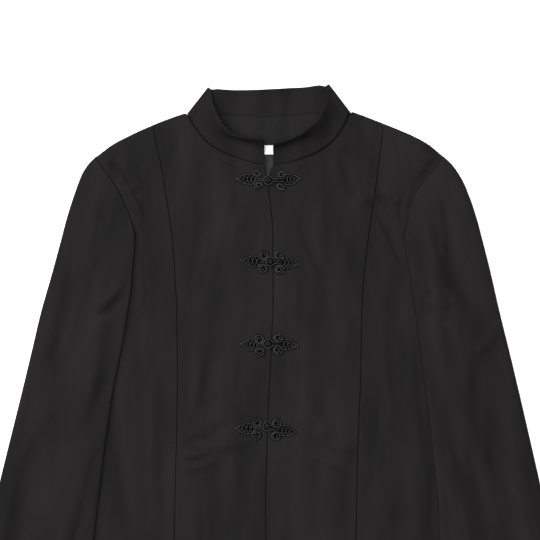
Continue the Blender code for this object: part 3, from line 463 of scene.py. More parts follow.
SLEEVE_CREASES = table(
    "x0 y0 x1 y1 x2 y2 width height",
    (-196, 236, -204, 200, -210, 150, 7, 0.8),
    (-176, 190, -190, 150, -206, 120, 6, -0.7),
    (-236, 168, -250, 100, -262, 20, 9, 0.7),
    (-168, 128, -184, 104, -206, 92, 6, 0.8),
    (-170, 108, -188, 86, -212, 78, 5, -0.8),
    (-262, 84, -248, 62, -226, 46, 7, 0.6),
    (-184, 20, -200, -20, -216, -70, 8, -0.8),
    (-206, -50, -222, -120, -244, -210, 8, 0.8),
    (-290, -60, -302, -130, -318, -220, 9, 0.7),
    (-222, -190, -244, -206, -272, -204, 7, 0.7),
    (-230, -246, -252, -260, -284, -262, 8, -0.7),
    (186, 232, 200, 196, 206, 140, 6, 0.8),
    (172, 176, 184, 130, 190, 90, 6, -0.8),
    (236, 186, 250, 110, 262, 30, 9, 0.8),
    (170, 118, 190, 100, 214, 92, 6, 0.8),
    (174, 98, 194, 78, 222, 72, 5, -0.7),
    (268, 76, 252, 50, 232, 40, 7, 0.6),
    (190, 10, 204, -40, 216, -90, 8, -0.8),
    (206, -60, 220, -130, 240, -220, 8, 0.8),
    (288, -50, 300, -130, 316, -210, 9, 0.7),
    (208, -180, 236, -196, 266, -194, 7, 0.7),
    (222, -240, 250, -256, 284, -254, 8, -0.7),
)
# Dents in the stand of the collar: place along it from the left edge of the slit, as a share of
# the whole band, place up it, reach each way, and depth
COLLAR_DENTS = table(
    "along up length height depth",
    (0.050, 0.56, 0.040, 0.26, 5.2),
    (0.110, 0.56, 0.030, 0.26, 3.0),
    (0.16, 0.72, 0.025, 0.40, -0.8),
    (0.21, 0.60, 0.016, 0.45, 1.2),
    (0.27, 0.50, 0.018, 0.45, 0.9),
    (0.46, 0.60, 0.050, 0.35, -0.5),
    (0.56, 0.55, 0.040, 0.35, 0.5),
    (0.74, 0.50, 0.018, 0.45, 0.9),
    (0.79, 0.65, 0.016, 0.40, 1.1),
    (0.84, 0.70, 0.025, 0.40, -0.8),
    (0.900, 0.54, 0.024, 0.24, 2.8),
    (0.952, 0.56, 0.040, 0.26, 5.4),
)
# Slow shallow waves that pressed cloth keeps: turns for each metre, phase and height
WAVES = table(
    "across along phase height",
    (13.0, 3.1, 0.4, 0.14),
    (-9.0, 11.0, 2.1, 0.12),
    (21.0, -6.0, 4.0, 0.09),
    (5.0, 19.0, 1.2, 0.09),
    (31.0, 14.0, 5.1, 0.05),
    (-26.0, 23.0, 3.3, 0.05),
)
# A frog's wing: its half width along it, as shares of the length and of the widest place
WING = table(
    "share width",
    (0.0, 0.72),
    (0.16, 0.95),
    (0.34, 1.0),
    (0.52, 0.86),
    (0.70, 0.60),
    (0.86, 0.32),
    (1.0, 0.06),
)


def smooth(share):
    """Eases from 0 to 1 as the share goes from 0 to 1."""
    share = np.clip(share, 0.0, 1.0)
    return share * share * (3.0 - 2.0 * share)


def through(keys, values, at):
    """Reads a smooth curve through a table's values at other keys."""
    order = np.argsort(keys)
    keys, values = keys[order], values[order]
    slopes = np.gradient(values, keys)
    low = np.clip(np.searchsorted(keys, at) - 1, 0, len(keys) - 2)
    span = keys[low + 1] - keys[low]
    t = np.clip((at - keys[low]) / span, 0.0, 1.0)
    ease = smooth(t)
    return (
        values[low] * (1.0 - ease)
        + values[low + 1] * ease
        + span * slopes[low] * t * (1.0 - t) ** 2
        - span * slopes[low + 1] * t * t * (1.0 - t)
    )


def by_level(levels, across, start, stop):
    """The curve of a table's column, run from one level to another."""

    def at(t):
        level = start + (stop - start) * np.asarray(t, float)
        return np.stack([through(levels, across, level), level], -1)

    return at


def course(points):
    """A smooth curve through points, run by the length along it."""
    points = np.asarray(points, float)
    length = np.concatenate([[0.0], np.cumsum(np.linalg.norm(np.diff(points, axis=0), axis=1))])

    def at(t):
        place = np.asarray(t, float) * length[-1]
        return np.stack([through(length, column, place) for column in points.T], -1)

    return at


def joined(*curves_and_shares):
    """Several curves end to end, each with its share of the whole run."""
    starts = np.cumsum([0.0] + [share for curve, share in curves_and_shares])

    def at(t):
        t = np.atleast_1d(np.asarray(t, float))
        out = np.zeros(t.shape + (2,))
        for (curve, share), start in zip(curves_and_shares, starts):
            here = (t >= start - 1e-9) & (t <= start + share + 1e-9)
            out[here] = curve(np.clip((t[here] - start) / share, 0.0, 1.0))
        return out

    return at


def patch(left, right, top, bottom, u, v):
    """Plan points that fill four edges; u runs left to right and v top to bottom."""
    u_, v_ = u[..., None], v[..., None]
    corners = (1 - v_) * ((1 - u_) * top(0.0) + u_ * top(1.0))
    corners = corners + v_ * ((1 - u_) * bottom(0.0) + u_ * bottom(1.0))
    sides = (1 - u_) * left(v) + u_ * right(v)
    ends = (1 - v_) * top(u) + v_ * bottom(u)
    return sides + ends - corners


def nearest(points, path):
    """Distance from each plan point to a path, and the share along the path where it is nearest."""
    start, step = path[:-1], np.diff(path, axis=0)
    length = np.linalg.norm(step, axis=1)
    away = points[..., None, :] - start
    t = np.clip((away * step).sum(-1) / np.maximum(length, 1e-9) ** 2, 0.0, 1.0)
    gap = np.linalg.norm(away - t[..., None] * step, axis=-1)
    best = gap.argmin(-1)
    pick = np.take_along_axis
    run = np.concatenate([[0.0], np.cumsum(length)[:-1]])
    along = (run + t * length) / length.sum()
    return pick(gap, best[..., None], -1)[..., 0], pick(along, best[..., None], -1)[..., 0]


def inside(points, outline):
    """Whether each plan point lies inside a closed outline."""
    x, y = points[..., 0, None], points[..., 1, None]
    x0, y0 = outline.T
    x1, y1 = np.roll(outline, -1, axis=0).T
    crosses = (y0 > y) != (y1 > y)
    rise = np.where(y1 == y0, 1e-9, y1 - y0)
    return ((x < x0 + (y - y0) * (x1 - x0) / rise) & crosses).sum(-1) % 2 == 1


def folds(points, rows):
    """Height that the creases of a table add at plan points."""
    total = np.zeros(points.shape[:-1])
    for row in zip(*(rows[name] for name in "x0 y0 x1 y1 x2 y2 width height".split())):
        x0, y0, x1, y1, x2, y2, width, height = row
        line = course([(x0, y0), (x1, y1), (x2, y2)])(np.linspace(0.0, 1.0, 9))
        gap, along = nearest(points, line)
        total += height * np.exp(-((gap / width) ** 2)) * smooth(4.0 * along) * smooth(4.0 - 4.0 * along)
    return total


# Edges of the pieces in plan
FINE = np.linspace(0.0, 1.0, 60)
SHOULDER_LINE = {
    side: course(np.stack([SHOULDER[side + "_x"], SHOULDER[side + "_y"]], -1)) for side in SIDES
}
NECK_EDGE = {
    side: course(np.stack([NECKLINE[side + "_x"], NECKLINE[side + "_y"]], -1)) for side in SIDES
}
BODY_SIDE = {
    side: by_level(BODY_EDGE["level"], BODY_EDGE[side], SHOULDER_LEVEL, HEM_SIDE) for side in SIDES
}
BODY_OUTLINE = np.concatenate(
    [
        SHOULDER_LINE["left"](FINE[::-1]),
        SHOULDER_LINE["right"](FINE),
        BODY_SIDE["right"](FINE),
        BODY_SIDE["left"](FINE[::-1]),
    ]
)


def hem_level(x):
    """Level of the front hem, which dips towards the middle."""
    return HEM_SIDE + (HEM_CENTRE - HEM_SIDE) * (1.0 - np.abs(x / BODY_EDGE["right"][-1]) ** 2)


def seen_edge(side):
    """Where the body goes out of sight: the armhole seam, and below it the sleeve's inner fold."""
    seam = by_level(BODY_EDGE["level"], BODY_EDGE[side], SHOULDER_LEVEL, UNDERARM_LEVEL)
    fold = by_level(SLEEVE_INNER["level"], SLEEVE_INNER[side], UNDERARM_LEVEL, SLEEVE_INNER["level"][-1])
    return np.concatenate([seam(FINE), fold(FINE[1:])])


SEEN_EDGE = {side: seen_edge(side) for side in SIDES}


def unevenness(points):
    """Height of the slow waves at plan points."""
    total = np.zeros(points.shape[:-1])
    for across, along, phase, height in zip(*(WAVES[name] for name in "across along phase height".split())):
        turns = (points[..., 0] * across + points[..., 1] * along) * MM
        total += height * np.sin(2.0 * math.pi * turns + phase)
    return total


def kept_above(height, low):
    """Heights eased so that none of them falls below a level."""
    return low + LOW_EASE * np.logaddexp(0.0, (height - low) / LOW_EASE)


def front_top(points):
    """Height of the front's upper side at plan points."""
    x, y = points[..., 0], points[..., 1]
    top = BODY_TOP + CHEST_LIFT * smooth((y - CHEST_LEVEL) / CHEST_BLEND)
    creases = FOLD_DEPTH * (folds(points, FRONT_FOLDS) + folds(points, FRONT_CREASES))
    top = kept_above(top + creases + unevenness(points), FRONT_LOW)
    armhole_top = FLANGE_TOP + (ARMHOLE_TOP - FLANGE_TOP) * smooth((y - UNDERARM_LEVEL) / ARMHOLE_BLEND)
    for side, sign in SIDES.items():
        tip = SHOULDER_LINE[side](1.0)
        reach = np.hypot(x - tip[0], y - tip[1]) / SHOULDER_PAD_REACH
        top = top + SHOULDER_PAD * (1.0 - smooth(reach))
        edge = SEEN_EDGE[side]
        gap = nearest(points, edge)[0]
        hidden = sign * x > sign * np.interp(-y, -edge[:, 1], edge[:, 0])
        share = smooth((np.where(hidden, 0.0, gap) - EDGE_FLAT) / EDGE_ROUNDING)
        near = sign * x > 0.0
        top = np.where(near, armhole_top + (top - armhole_top) * share, top)
        share = smooth(nearest(points, SHOULDER_LINE[side](FINE))[0] / EDGE_ROUNDING)
        top = np.where(near, FLANGE_TOP + (top - FLANGE_TOP) * share, top)
    return top


def sleeve_heights(points):
    """Heights of a sleeve's lower and upper sides at plan points."""
    y = points[..., 1]
    away = nearest(points, np.vstack([BODY_OUTLINE, BODY_OUTLINE[:1]]))[0]
    away = np.where(inside(points, BODY_OUTLINE), 0.0, away)
    carried = 1.0 - smooth((away - SLEEVE_CLEAR) / SLEEVE_DROP)
    carried = carried * smooth((UNDERARM_LEVEL - y) / SLEEVE_LANDING + 1.0)
    low = (FLANGE_TOP + LAYER_GAP) * carried
    hollow = SLEEVE_HOLLOW + (SLEEVE_HOLLOW_ON_BODY - SLEEVE_HOLLOW) * carried
    head = SLEEVE_HEAD * smooth((y - SLEEVE_HEAD_LEVEL) / SLEEVE_HEAD_BLEND)
    creases = FOLD_DEPTH * (folds(points, SLEEVE_FOLDS) + folds(points, SLEEVE_CREASES)) + unevenness(points)
    return low, low + 2.0 * WALL + head + kept_above(hollow + creases, SLEEVE_LOW)


def shares(length, step, ends=(0.4, 1.0, 1.8)):
    """Places along a run in shares of it, a step apart, and closer together at both ends."""
    count = max(2, round((length - 2.0 * ends[-1]) / step) + 1)
    inner = np.linspace(ends[-1], length - ends[-1], count)
    places = np.concatenate([[0.0], ends[:-1], inner, [length - end for end in ends[-2::-1]], [length]])
    return places / length


def grid(across, along):
    """The u and v of a grid, a row for each value along."""
    return np.meshgrid(np.asarray(across, float), np.asarray(along, float))


def rim_distance(plan):
    """How far each point of a grid lies from the grid's nearest side."""
    across = np.linalg.norm(np.diff(plan, axis=1), axis=-1)
    along = np.linalg.norm(np.diff(plan, axis=0), axis=-1)
    left = np.pad(np.cumsum(across, 1), ((0, 0), (1, 0)))
    above = np.pad(np.cumsum(along, 0), ((1, 0), (0, 0)))
    right, below = left[:, -1:] - left, above[-1:] - above
    return np.minimum(np.minimum(left, right), np.minimum(above, below))


def rolled(distance, radius):
    """How far a rounded edge has turned down at each distance from it."""
    short = 1.0 - np.clip(distance / radius, 0.0, 1.0)
    return radius * (1.0 - np.sqrt(1.0 - short**2))


def piece(name, points, faces, finish, slot, node):
    """One smooth piece of the blazer, in place of the named solid."""
    mesh = bpy.data.meshes.new(name)
    mesh.from_pydata((np.asarray(points) * MM).tolist(), [], [[int(i) for i in face] for face in faces])
    mesh.validate()
    model = bmesh.new()
    model.from_mesh(mesh)
    bmesh.ops.recalc_face_normals(model, faces=model.faces)
    model.to_mesh(mesh)
    model.free()
    mesh.materials.append(finish)
    mesh.shade_smooth()
    mesh.set_sharp_from_angle(angle=math.radians(65.0))
    made = bpy.data.objects.new(name, mesh)
    bpy.context.scene.collection.objects.link(made)
    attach(made, "root")
    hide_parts(node)
    return made


def grid_faces(rows, cols, turned=False):
    """Four-sided faces of a grid of points, as an array."""
    first = (np.arange(rows - 1)[:, None] * cols + np.arange(cols - 1)).ravel()
    faces = np.stack([first, first + cols, first + cols + 1, first + 1], -1)
    return faces[:, ::-1] if turned else faces


def shell(upper, lower):
    """Points and faces of a closed sheet between two grids of points."""
    rows, cols = upper.shape[:2]
    count = rows * cols
    place = np.arange(count).reshape(rows, cols)
    rim = np.concatenate([place[0], place[1:, -1], place[-1, -2::-1], place[-2:0:-1, 0]])
    ahead = np.roll(rim, -1)
    sides = np.stack([rim, ahead, count + ahead, count + rim], -1)
    faces = np.concatenate([grid_faces(rows, cols), grid_faces(rows, cols, True) + count, sides])
    return np.concatenate([upper.reshape(-1, 3), lower.reshape(-1, 3)]), faces


def lofted(rings):
    """Points and faces of a band of closed rings, without its ends."""
    rows, ring = rings.shape[:2]
    place = np.arange(rows * ring).reshape(rows, ring)
    ahead = np.roll(place, -1, axis=1)
    faces = np.stack([place[:-1], place[1:], ahead[1:], ahead[:-1]], -1).reshape(-1, 4)
    return rings.reshape(-1, 3), faces


def raised(plan, height):
    """Plan points with heights."""
    return np.concatenate([plan, np.broadcast_to(height, plan.shape[:-1])[..., None]], -1)


def laid(made, plan):
    """Measures the box of a piece's plan; nothing is done with the size."""
    size = (plan.reshape(-1, 2).max(0) - plan.reshape(-1, 2).min(0)) * MM


def front_edges(side):
    """The plan curves of one front: body side, both sides of the princess seam and the centre."""
    sign = SIDES[side]
    seams = []
    for shift in (sign * SEAM_GAP / 2.0, -sign * SEAM_GAP / 2.0):
        hem = float(hem_level(PRINCESS[side][-1]))
        seams.append(by_level(PRINCESS["level"], PRINCESS[side] + shift, PRINCESS["level"][0], hem))
    centre = by_level(CENTRE["level"], CENTRE["x"] + sign * CENTRE["slit"], CENTRE["level"][0], HEM_CENTRE)
    return BODY_SIDE[side], *seams, centre


def hem_curve(start, stop):
    """The front hem between two places across the garment."""

    def at(t):
        x = start + (stop - start) * np.asarray(t, float)
        return np.stack([x, hem_level(x)], -1)

    return at


def stretch(curve, start, stop):
    """Part of a curve, between two shares of it."""
    return lambda t: curve(start + (stop - start) * np.asarray(t, float))


def share_at_x(curve, x):
    """The share along a curve at which it crosses a place across the garment."""
    run = curve(FINE)[:, 0]
    order = np.argsort(run)
    return float(np.interp(x, run[order], FINE[order]))


def front_plans(side, step):
    """Grids of plan points of a front's side panel and centre panel."""
    body, outer_seam, inner_seam, centre = front_edges(side)
    shoulder = SHOULDER_LINE[side]
    rows = shares(SHOULDER_LEVEL - HEM_SIDE, step)
    start = share_at_x(shoulder, outer_seam(0.0)[0])
    top = stretch(shoulder, 1.0, start)
    hem = hem_curve(body(1.0)[0], outer_seam(1.0)[0])
    side_plan = patch(body, outer_seam, top, hem, *grid(shares(SIDE_PANEL_WIDTH, step), rows))
    start = share_at_x(shoulder, inner_seam(0.0)[0])
    top = joined((stretch(shoulder, start, 0.0), 0.25), (NECK_EDGE[side], 0.75))
    hem = hem_curve(inner_seam(1.0)[0], centre(1.0)[0])
    centre_plan = patch(inner_seam, centre, top, hem, *grid(shares(CENTRE_PANEL_WIDTH, step), rows))
    return side_plan, centre_plan


def tube_rings(side, inset, step):
    """Rings of points along one sleeve, from the armhole to the cuff."""
    seam = by_level(BODY_EDGE["level"], BODY_EDGE[side], UNDERARM_LEVEL, SHOULDER_LEVEL)
    fold = by_level(SLEEVE_INNER["level"], SLEEVE_INNER[side], UNDERARM_LEVEL, SLEEVE_INNER["level"][-1])
    outer = by_level(SLEEVE_OUTER["level"], SLEEVE_OUTER[side], SHOULDER_LEVEL, SLEEVE_OUTER["level"][-1])

    def inner(t):
        place = fold(t)
        near = 1.0 - smooth((UNDERARM_LEVEL - place[..., 1]) / UNDERARM_LAP_REACH)
        return place - np.stack([SIDES[side] * UNDERARM_LAP * near, 0.0 * near], -1)

    cuff_ends = np.stack([inner(1.0), outer(1.0)])

    def armhole(t):
        t = np.asarray(t, float)
        ahead = seam(np.clip(t + 0.02, 0.0, 1.0)) - seam(np.clip(t - 0.02, 0.0, 1.0))
        outward = np.stack([ahead[..., 1], -ahead[..., 0]], -1) * SIDES[side]
        return seam(t) + ARMHOLE_GAP * outward / np.linalg.norm(outward, axis=-1, keepdims=True)

    def cuff(t):
        return cuff_ends[0] + (cuff_ends[1] - cuff_ends[0]) * np.asarray(t, float)[..., None]

    rows = shares(SHOULDER_LEVEL - SLEEVE_OUTER["level"][-1], step)
    columns = shares(SLEEVE_WIDTH, step, (0.25, 0.9, 1.9, 3.3, 5.2))
    rings = []
    for v in rows:
        ends = patch(inner, outer, armhole, cuff, np.array([0.0, 1.0]), np.array([v, v]))
        width = float(np.linalg.norm(ends[1] - ends[0]))
        across = columns * (width - 2.0 * inset)
        edge = np.minimum(across, across[-1] - across)
        swell = np.sqrt(1.0 - (1.0 - np.clip(edge / (SLEEVE_EDGE_RADIUS - inset), 0.0, 1.0)) ** 2)
        plan = patch(inner, outer, armhole, cuff, (across + inset) / width, np.full(len(across), v))
        low, high = sleeve_heights(plan)
        tuck = rolled(np.full(len(across), min(v, 1.0 - v) * -HEM_SIDE * 2.0), CUFF_ROUNDING)
        tuck *= 0.5 if inset else 1.0
        low, high = low + inset + tuck * 0.4, high - inset - tuck * 0.8
        middle = (low + high) / 2.0
        upper = raised(plan, middle + (high - middle) * swell)
        lower = raised(plan, middle + (low - middle) * swell)
        rings.append(np.concatenate([upper, lower[-2:0:-1]]))
    under = rings[0].copy()
    ahead = np.roll(under[:, :2], -1, axis=0) - np.roll(under[:, :2], 1, axis=0)
    ahead *= np.where(np.arange(len(under)) < len(columns), 1.0, -1.0)[:, None] * SIDES[side]
    ahead[[0, len(columns) - 1]] = ahead[[1, len(columns) - 2]]
    turned = np.stack([-ahead[:, 1], ahead[:, 0]], -1)
    under[:, :2] += (ARMHOLE_GAP + SEAM_TURNING) * turned / np.linalg.norm(turned, axis=1, keepdims=True)
    under[:, 2] = WALL + TUCKED_LOW + TUCKED_WALL * inset
    under[: len(columns), 2] += TUCKED_RISE - TUCKED_WALL * inset
    return np.array([under, *rings])


def collar_stations():
    """The collar's stations round the neck, as rows of seam point, top point and bow."""

    def rows(source):
        return np.stack([source[name] for name in "seam_x seam_y seam_z top_x top_y top_z bow".split()], -1)

    def crease(index, turn):
        line = {name: column[index] for name, column in COLLAR_CREASE.items()}
        seam = np.array([line["seam_x"], line["seam_y"], line["seam_z"]])
        top = np.array([line["top_x"], line["top_y"], line["top_z"]])
        along = (top - seam)[:2] / np.linalg.norm((top - seam)[:2])
        outward = line["side"] * np.array([along[1], -along[0]])
        made = []
        for angle in turn:
            bend = COLLAR_FOLD_RADIUS * (math.cos(angle) - 1.0)
            shift = np.array([outward[0] * bend, outward[1] * bend, COLLAR_FOLD_RADIUS * math.sin(angle)])
            made.append(np.concatenate([seam + shift, top + shift, [0.0]]))
        return np.array(made)

    down = np.radians([75.0, 38.0, 0.0, -38.0, -75.0])
    parts = [rows(COLLAR_LEFT), crease(0, down), rows(COLLAR_BACK), crease(1, down[::-1])]
    return np.concatenate([*parts, rows(COLLAR_RIGHT)[::-1]])


def collar_middle(step):
    """The collar's middle surface: a row for each place up it and a column for each along it."""
    stations = collar_stations()
    halfway = (stations[:, :3] + stations[:, 3:6]) / 2.0
    run = np.concatenate([[0.0], np.cumsum(np.linalg.norm(np.diff(halfway, axis=0), axis=1))])
    places = [0.0, 0.4, 1.0]
    for a, b in zip(run[:-1], run[1:]):
        places += list(np.linspace(a, b, max(2, math.ceil((b - a) / step)), endpoint=False)[1:]) + [b]
    places = np.unique(np.round(np.array(places + [run[-1] - 1.0, run[-1] - 0.4]), 3))
    fine = np.stack([through(run, column, places) for column in stations.T], -1)
    seam, top, bow = fine[:, :3], fine[:, 3:6], fine[:, 6]
    line = top - seam
    length = np.linalg.norm(line, axis=1)[:, None]
    flat = np.linalg.norm(line[:, :2], axis=1)[:, None]
    inward = np.concatenate([line[:, :2] / flat * line[:, 2:], -flat], 1) / length
    heights = shares(COLLAR_HEIGHT, 2.4, (0.2, 0.5, 1.0))
    share = places / run[-1]
    dents = list(zip(*(COLLAR_DENTS[name] for name in "along up length height depth".split())))
    rows = []
    for h in heights:
        sunk = 4.0 * h * (1.0 - h) * bow * COLLAR_BOW
        for along, up, reach, tall, depth in dents:
            sunk = sunk + depth * np.exp(-(((share - along) / reach) ** 2) - ((h - up) / tall) ** 2)
        rows.append(seam + line * h + inward * sunk[:, None])
    turned = seam.copy()
    turned[:, :2] -= SEAM_TURNING * line[:, :2] / flat
    turned[:, 2] = np.maximum(seam[:, 2] - COLLAR_TUCK_FRONT, COLLAR_TUCK_LOW)
    behind = seam.copy()
    behind[:, :2] -= BACK_SEAM_TURNING * line[:, :2] / flat
    behind[:, 2] = np.maximum(seam[:, 2] - COLLAR_TUCK_BACK, COLLAR_TUCK_LOW)
    at_front = np.minimum(share, 1.0 - share) < FRONT_SHARE
    rows.insert(0, np.where(at_front[:, None], turned, behind))
    return np.array(rows), np.concatenate([[-SEAM_TURNING / COLLAR_HEIGHT], heights]), places


def cord_mesh(route, radius, step, twist, sides=10):
    """Points and faces of a closed two-ply cord along a route of points."""
    route = np.asarray(route, float)
    length = np.linalg.norm(np.diff(route, axis=0), axis=1).sum()
    path = course(route)(np.linspace(0.0, 1.0, max(4, math.ceil(length / step))))
    ahead = np.gradient(path, axis=0)
    ahead /= np.linalg.norm(ahead, axis=1)[:, None]
    across = np.cross(ahead[0], (0.0, 0.0, 1.0))
    rings = []
    for index, (place, way) in enumerate(zip(path, ahead)):
        across = across - way * across.dot(way)
        across = across / np.linalg.norm(across)
        up = np.cross(across, way)
        turn = 2.0 * math.pi * np.arange(sides) / sides
        ply = 2.0 * math.pi * index * length / len(path) / twist
        reach = radius * (PLY_CORE + PLY_RIDGE * np.abs(np.cos(turn - ply)))
        end = min(index, len(path) - 1 - index)
        reach = reach * (1.0 if end > 1 else (0.45, 0.85)[end])
        rings.append(place + reach[:, None] * (np.cos(turn)[:, None] * across + np.sin(turn)[:, None] * up))
    points, faces = lofted(np.array(rings))
    count = len(points)
    points = np.concatenate([points, path[:1], path[-1:]])
    ring = np.arange(sides)
    first = np.stack([np.full(sides, count), ring, np.roll(ring, -1), np.roll(ring, -1)], -1)
    last = first.copy()
    last[:, 0], last[:, 1:] = count + 1, (count - sides + np.stack([np.roll(ring, -1), ring, ring], -1))
    ends = [tuple(face[:3]) for face in np.concatenate([first, last])]
    return points, [tuple(face) for face in faces] + ends


def joined_meshes(parts):
    """Points and faces of several meshes in one."""
    points, faces, count = [], [], 0
    for part_points, part_faces in parts:
        points.append(part_points)
        faces += [tuple(int(i) + count for i in face) for face in part_faces]
        count += len(part_points)
    return np.concatenate(points), faces


def coil_route(middle, towards, roundness, hand):
    """A flat spiral of cord from its open middle outwards, squeezed across the way it points."""
    long_axis = np.array(towards, float) / np.linalg.norm(towards)
    wide_axis = np.array([-long_axis[1], long_axis[0]]) * roundness
    t = np.linspace(0.0, COIL_TURNS, 60)
    radius = COIL_START + (COIL_RADIUS - 1.0 - COIL_START) * np.clip(t / (COIL_TURNS - 1.0), 0.0, 1.0)
    turn = 2.0 * math.pi * t * hand
    plan = middle + radius[:, None] * (np.cos(turn)[:, None] * long_axis + np.sin(turn)[:, None] * wide_axis)
    return raised(plan, COIL_HEIGHT - COIL_FALL * t / COIL_TURNS)


def wing_routes(root, tip):
    """The cords of a leaf: its rim and the strands that cross each other inside it."""
    root, tip = np.array(root, float), np.array(tip, float)
    length = np.linalg.norm(tip - root)
    along = (tip - root) / length
    across = np.array([-along[1], along[0]])
    share = np.linspace(0.0, 1.0, 24)
    half = WING_HALF_WIDTH * through(WING["share"], WING["width"], share) - RIM_INSET
    routes = []
    rim = [root + along * length * s + across * h for s, h in zip(share, np.clip(half, 0.0, None))]
    back = [root + along * length * s - across * h for s, h in zip(share, np.clip(half, 0.0, None))][::-1]
    routes.append((raised(np.array(rim + back[1:]), RIM_HEIGHT), RIM_CORD))
    share = np.linspace(0.0, 0.94, 60)
    half = WING_HALF_WIDTH * through(WING["share"], WING["width"], share)
    reach = np.clip(half - STRAND_INSET, 0.2, None)
    for sign in (1.0, -1.0):
        wave = 2.0 * math.pi * STRAND_WAVES * share
        plan = root + along * (length * share)[:, None] + across * (sign * reach * np.sin(wave))[:, None]
        routes.append((raised(plan, STRAND_HEIGHT + sign * STRAND_WEAVE * np.cos(wave)), STRAND_CORD))
    return routes


def loop_routes(knot, root, side):
    """The doubled cord that carries the knot, or the loop that goes round it."""
    towards = math.atan2(*(root - knot)[::-1])
    aside = np.array([-math.sin(towards), math.cos(towards)])
    if side == "left":
        low, middle, high = STEM_HEIGHTS
        ends = [(root + aside * s, knot + aside * s * STEM_TAPER) for s in (STEM_APART, -STEM_APART)]
        return [([(*a, low), (*(a + (b - a) * 0.5), middle), (*b, high)], STEM_CORD) for a, b in ends]
    radius = KNOT_RADIUS + LOOP_ROOM + LOOP_GAP
    route = []
    for turn in towards + np.radians(np.linspace(30.0, 330.0, 14)):
        route.append((*(knot + radius * np.array([math.cos(turn), math.sin(turn)])), LOOP_HEIGHT))
    near = knot + (root - knot) * LOOP_NEAR
    aside = aside * LOOP_APART
    start = [(*(root + aside), LOOP_ROOT_HEIGHT), (*(near + aside), LOOP_NEAR_HEIGHT)]
    end = [(*(near - aside), LOOP_NEAR_HEIGHT), (*(root - aside), LOOP_ROOT_HEIGHT)]
    return [(start + route + end, LOOP_CORD)]


def leaf_plan(root, tip, share, half):
    """Plan points of a leaf from root to tip, as wide each way as half says at its shares."""
    along = tip - root
    across = np.array([-along[1], along[0]]) / np.linalg.norm(along)
    reach, run = np.meshgrid(np.linspace(-1.0, 1.0, 9), share)
    return root + along * run[..., None] + across * (reach * half[:, None])[..., None]


def shade_felt_plans(knot, coils, roundness, wing_root, wing_tip):
    """Plan points of the dark matt cloth of painted shade under the two coils and the wing of one half of a
    frog, reaching a margin past the cords as a painted shadow outline.
    """
    share = np.linspace(0.02, 0.98, 13)
    radius = COIL_RADIUS + SHADE_FELT_MARGIN
    half = radius * roundness * np.sqrt(1.0 - (2.0 * share - 1.0) ** 2)
    plans = []
    for middle in coils:
        reach = radius * (knot - middle) / np.linalg.norm(knot - middle)
        plans.append(leaf_plan(middle - reach, middle + reach, share, half))
    half = WING_HALF_WIDTH * through(WING["share"], WING["width"], share) + SHADE_FELT_MARGIN
    return [*plans, leaf_plan(wing_root, wing_tip, share, half)]


def knot_routes(knot):
    """The strand of a button knot, wound round a ball over and under itself."""
    t = np.linspace(0.0, 2.0 * math.pi, 90)
    around, up = 3.0 * t, 0.98 * np.sin(4.0 * t)
    reach = KNOT_RADIUS - KNOT_CORD + 0.3 * np.cos(8.0 * t + 0.6)
    middle = 1.95 + KNOT_RADIUS
    flat = reach * np.cos(up)
    x, y = knot[0] + flat * np.cos(around), knot[1] + flat * np.sin(around)
    return [(np.stack([x, y, middle + reach * np.sin(up)], -1), KNOT_CORD)]


def seated(route, step=1.0):
    """A route of points moved up onto the cloth beneath it."""
    route = np.asarray(route, float)
    length = np.linalg.norm(np.diff(route, axis=0), axis=1).sum()
    path = course(route)(np.linspace(0.0, 1.0, max(4, math.ceil(length / step))))
    path[:, 2] += front_top(path[:, :2]) + SEAM_GAP
    return path


# The Mix node's sockets for colours: the factor, the two colours and the result
MIX_INPUTS = (0, 6, 7)
MIX_OUTPUT = 2


class Sums:
    """A socket's value, with operators that add Math nodes to its tree."""

    def __init__(self, tree, socket):
        self.tree, self.socket = tree, socket

    def worked(self, operation, *values):
        """The value of one Math node."""
        return self.tree.add("Math", dict(enumerate(values)), operation=operation)

    def __add__(self, other):
        return self.worked("ADD", self, other)

    def __sub__(self, other):
        return self.worked("SUBTRACT", self, other)

    def __rsub__(self, other):
        return self.worked("SUBTRACT", other, self)

    def __mul__(self, other):
        return self.worked("MULTIPLY", self, other)

    __radd__, __rmul__ = __add__, __mul__

    def sine(self):
        """The sine of the value."""
        return self.worked("SINE", self)


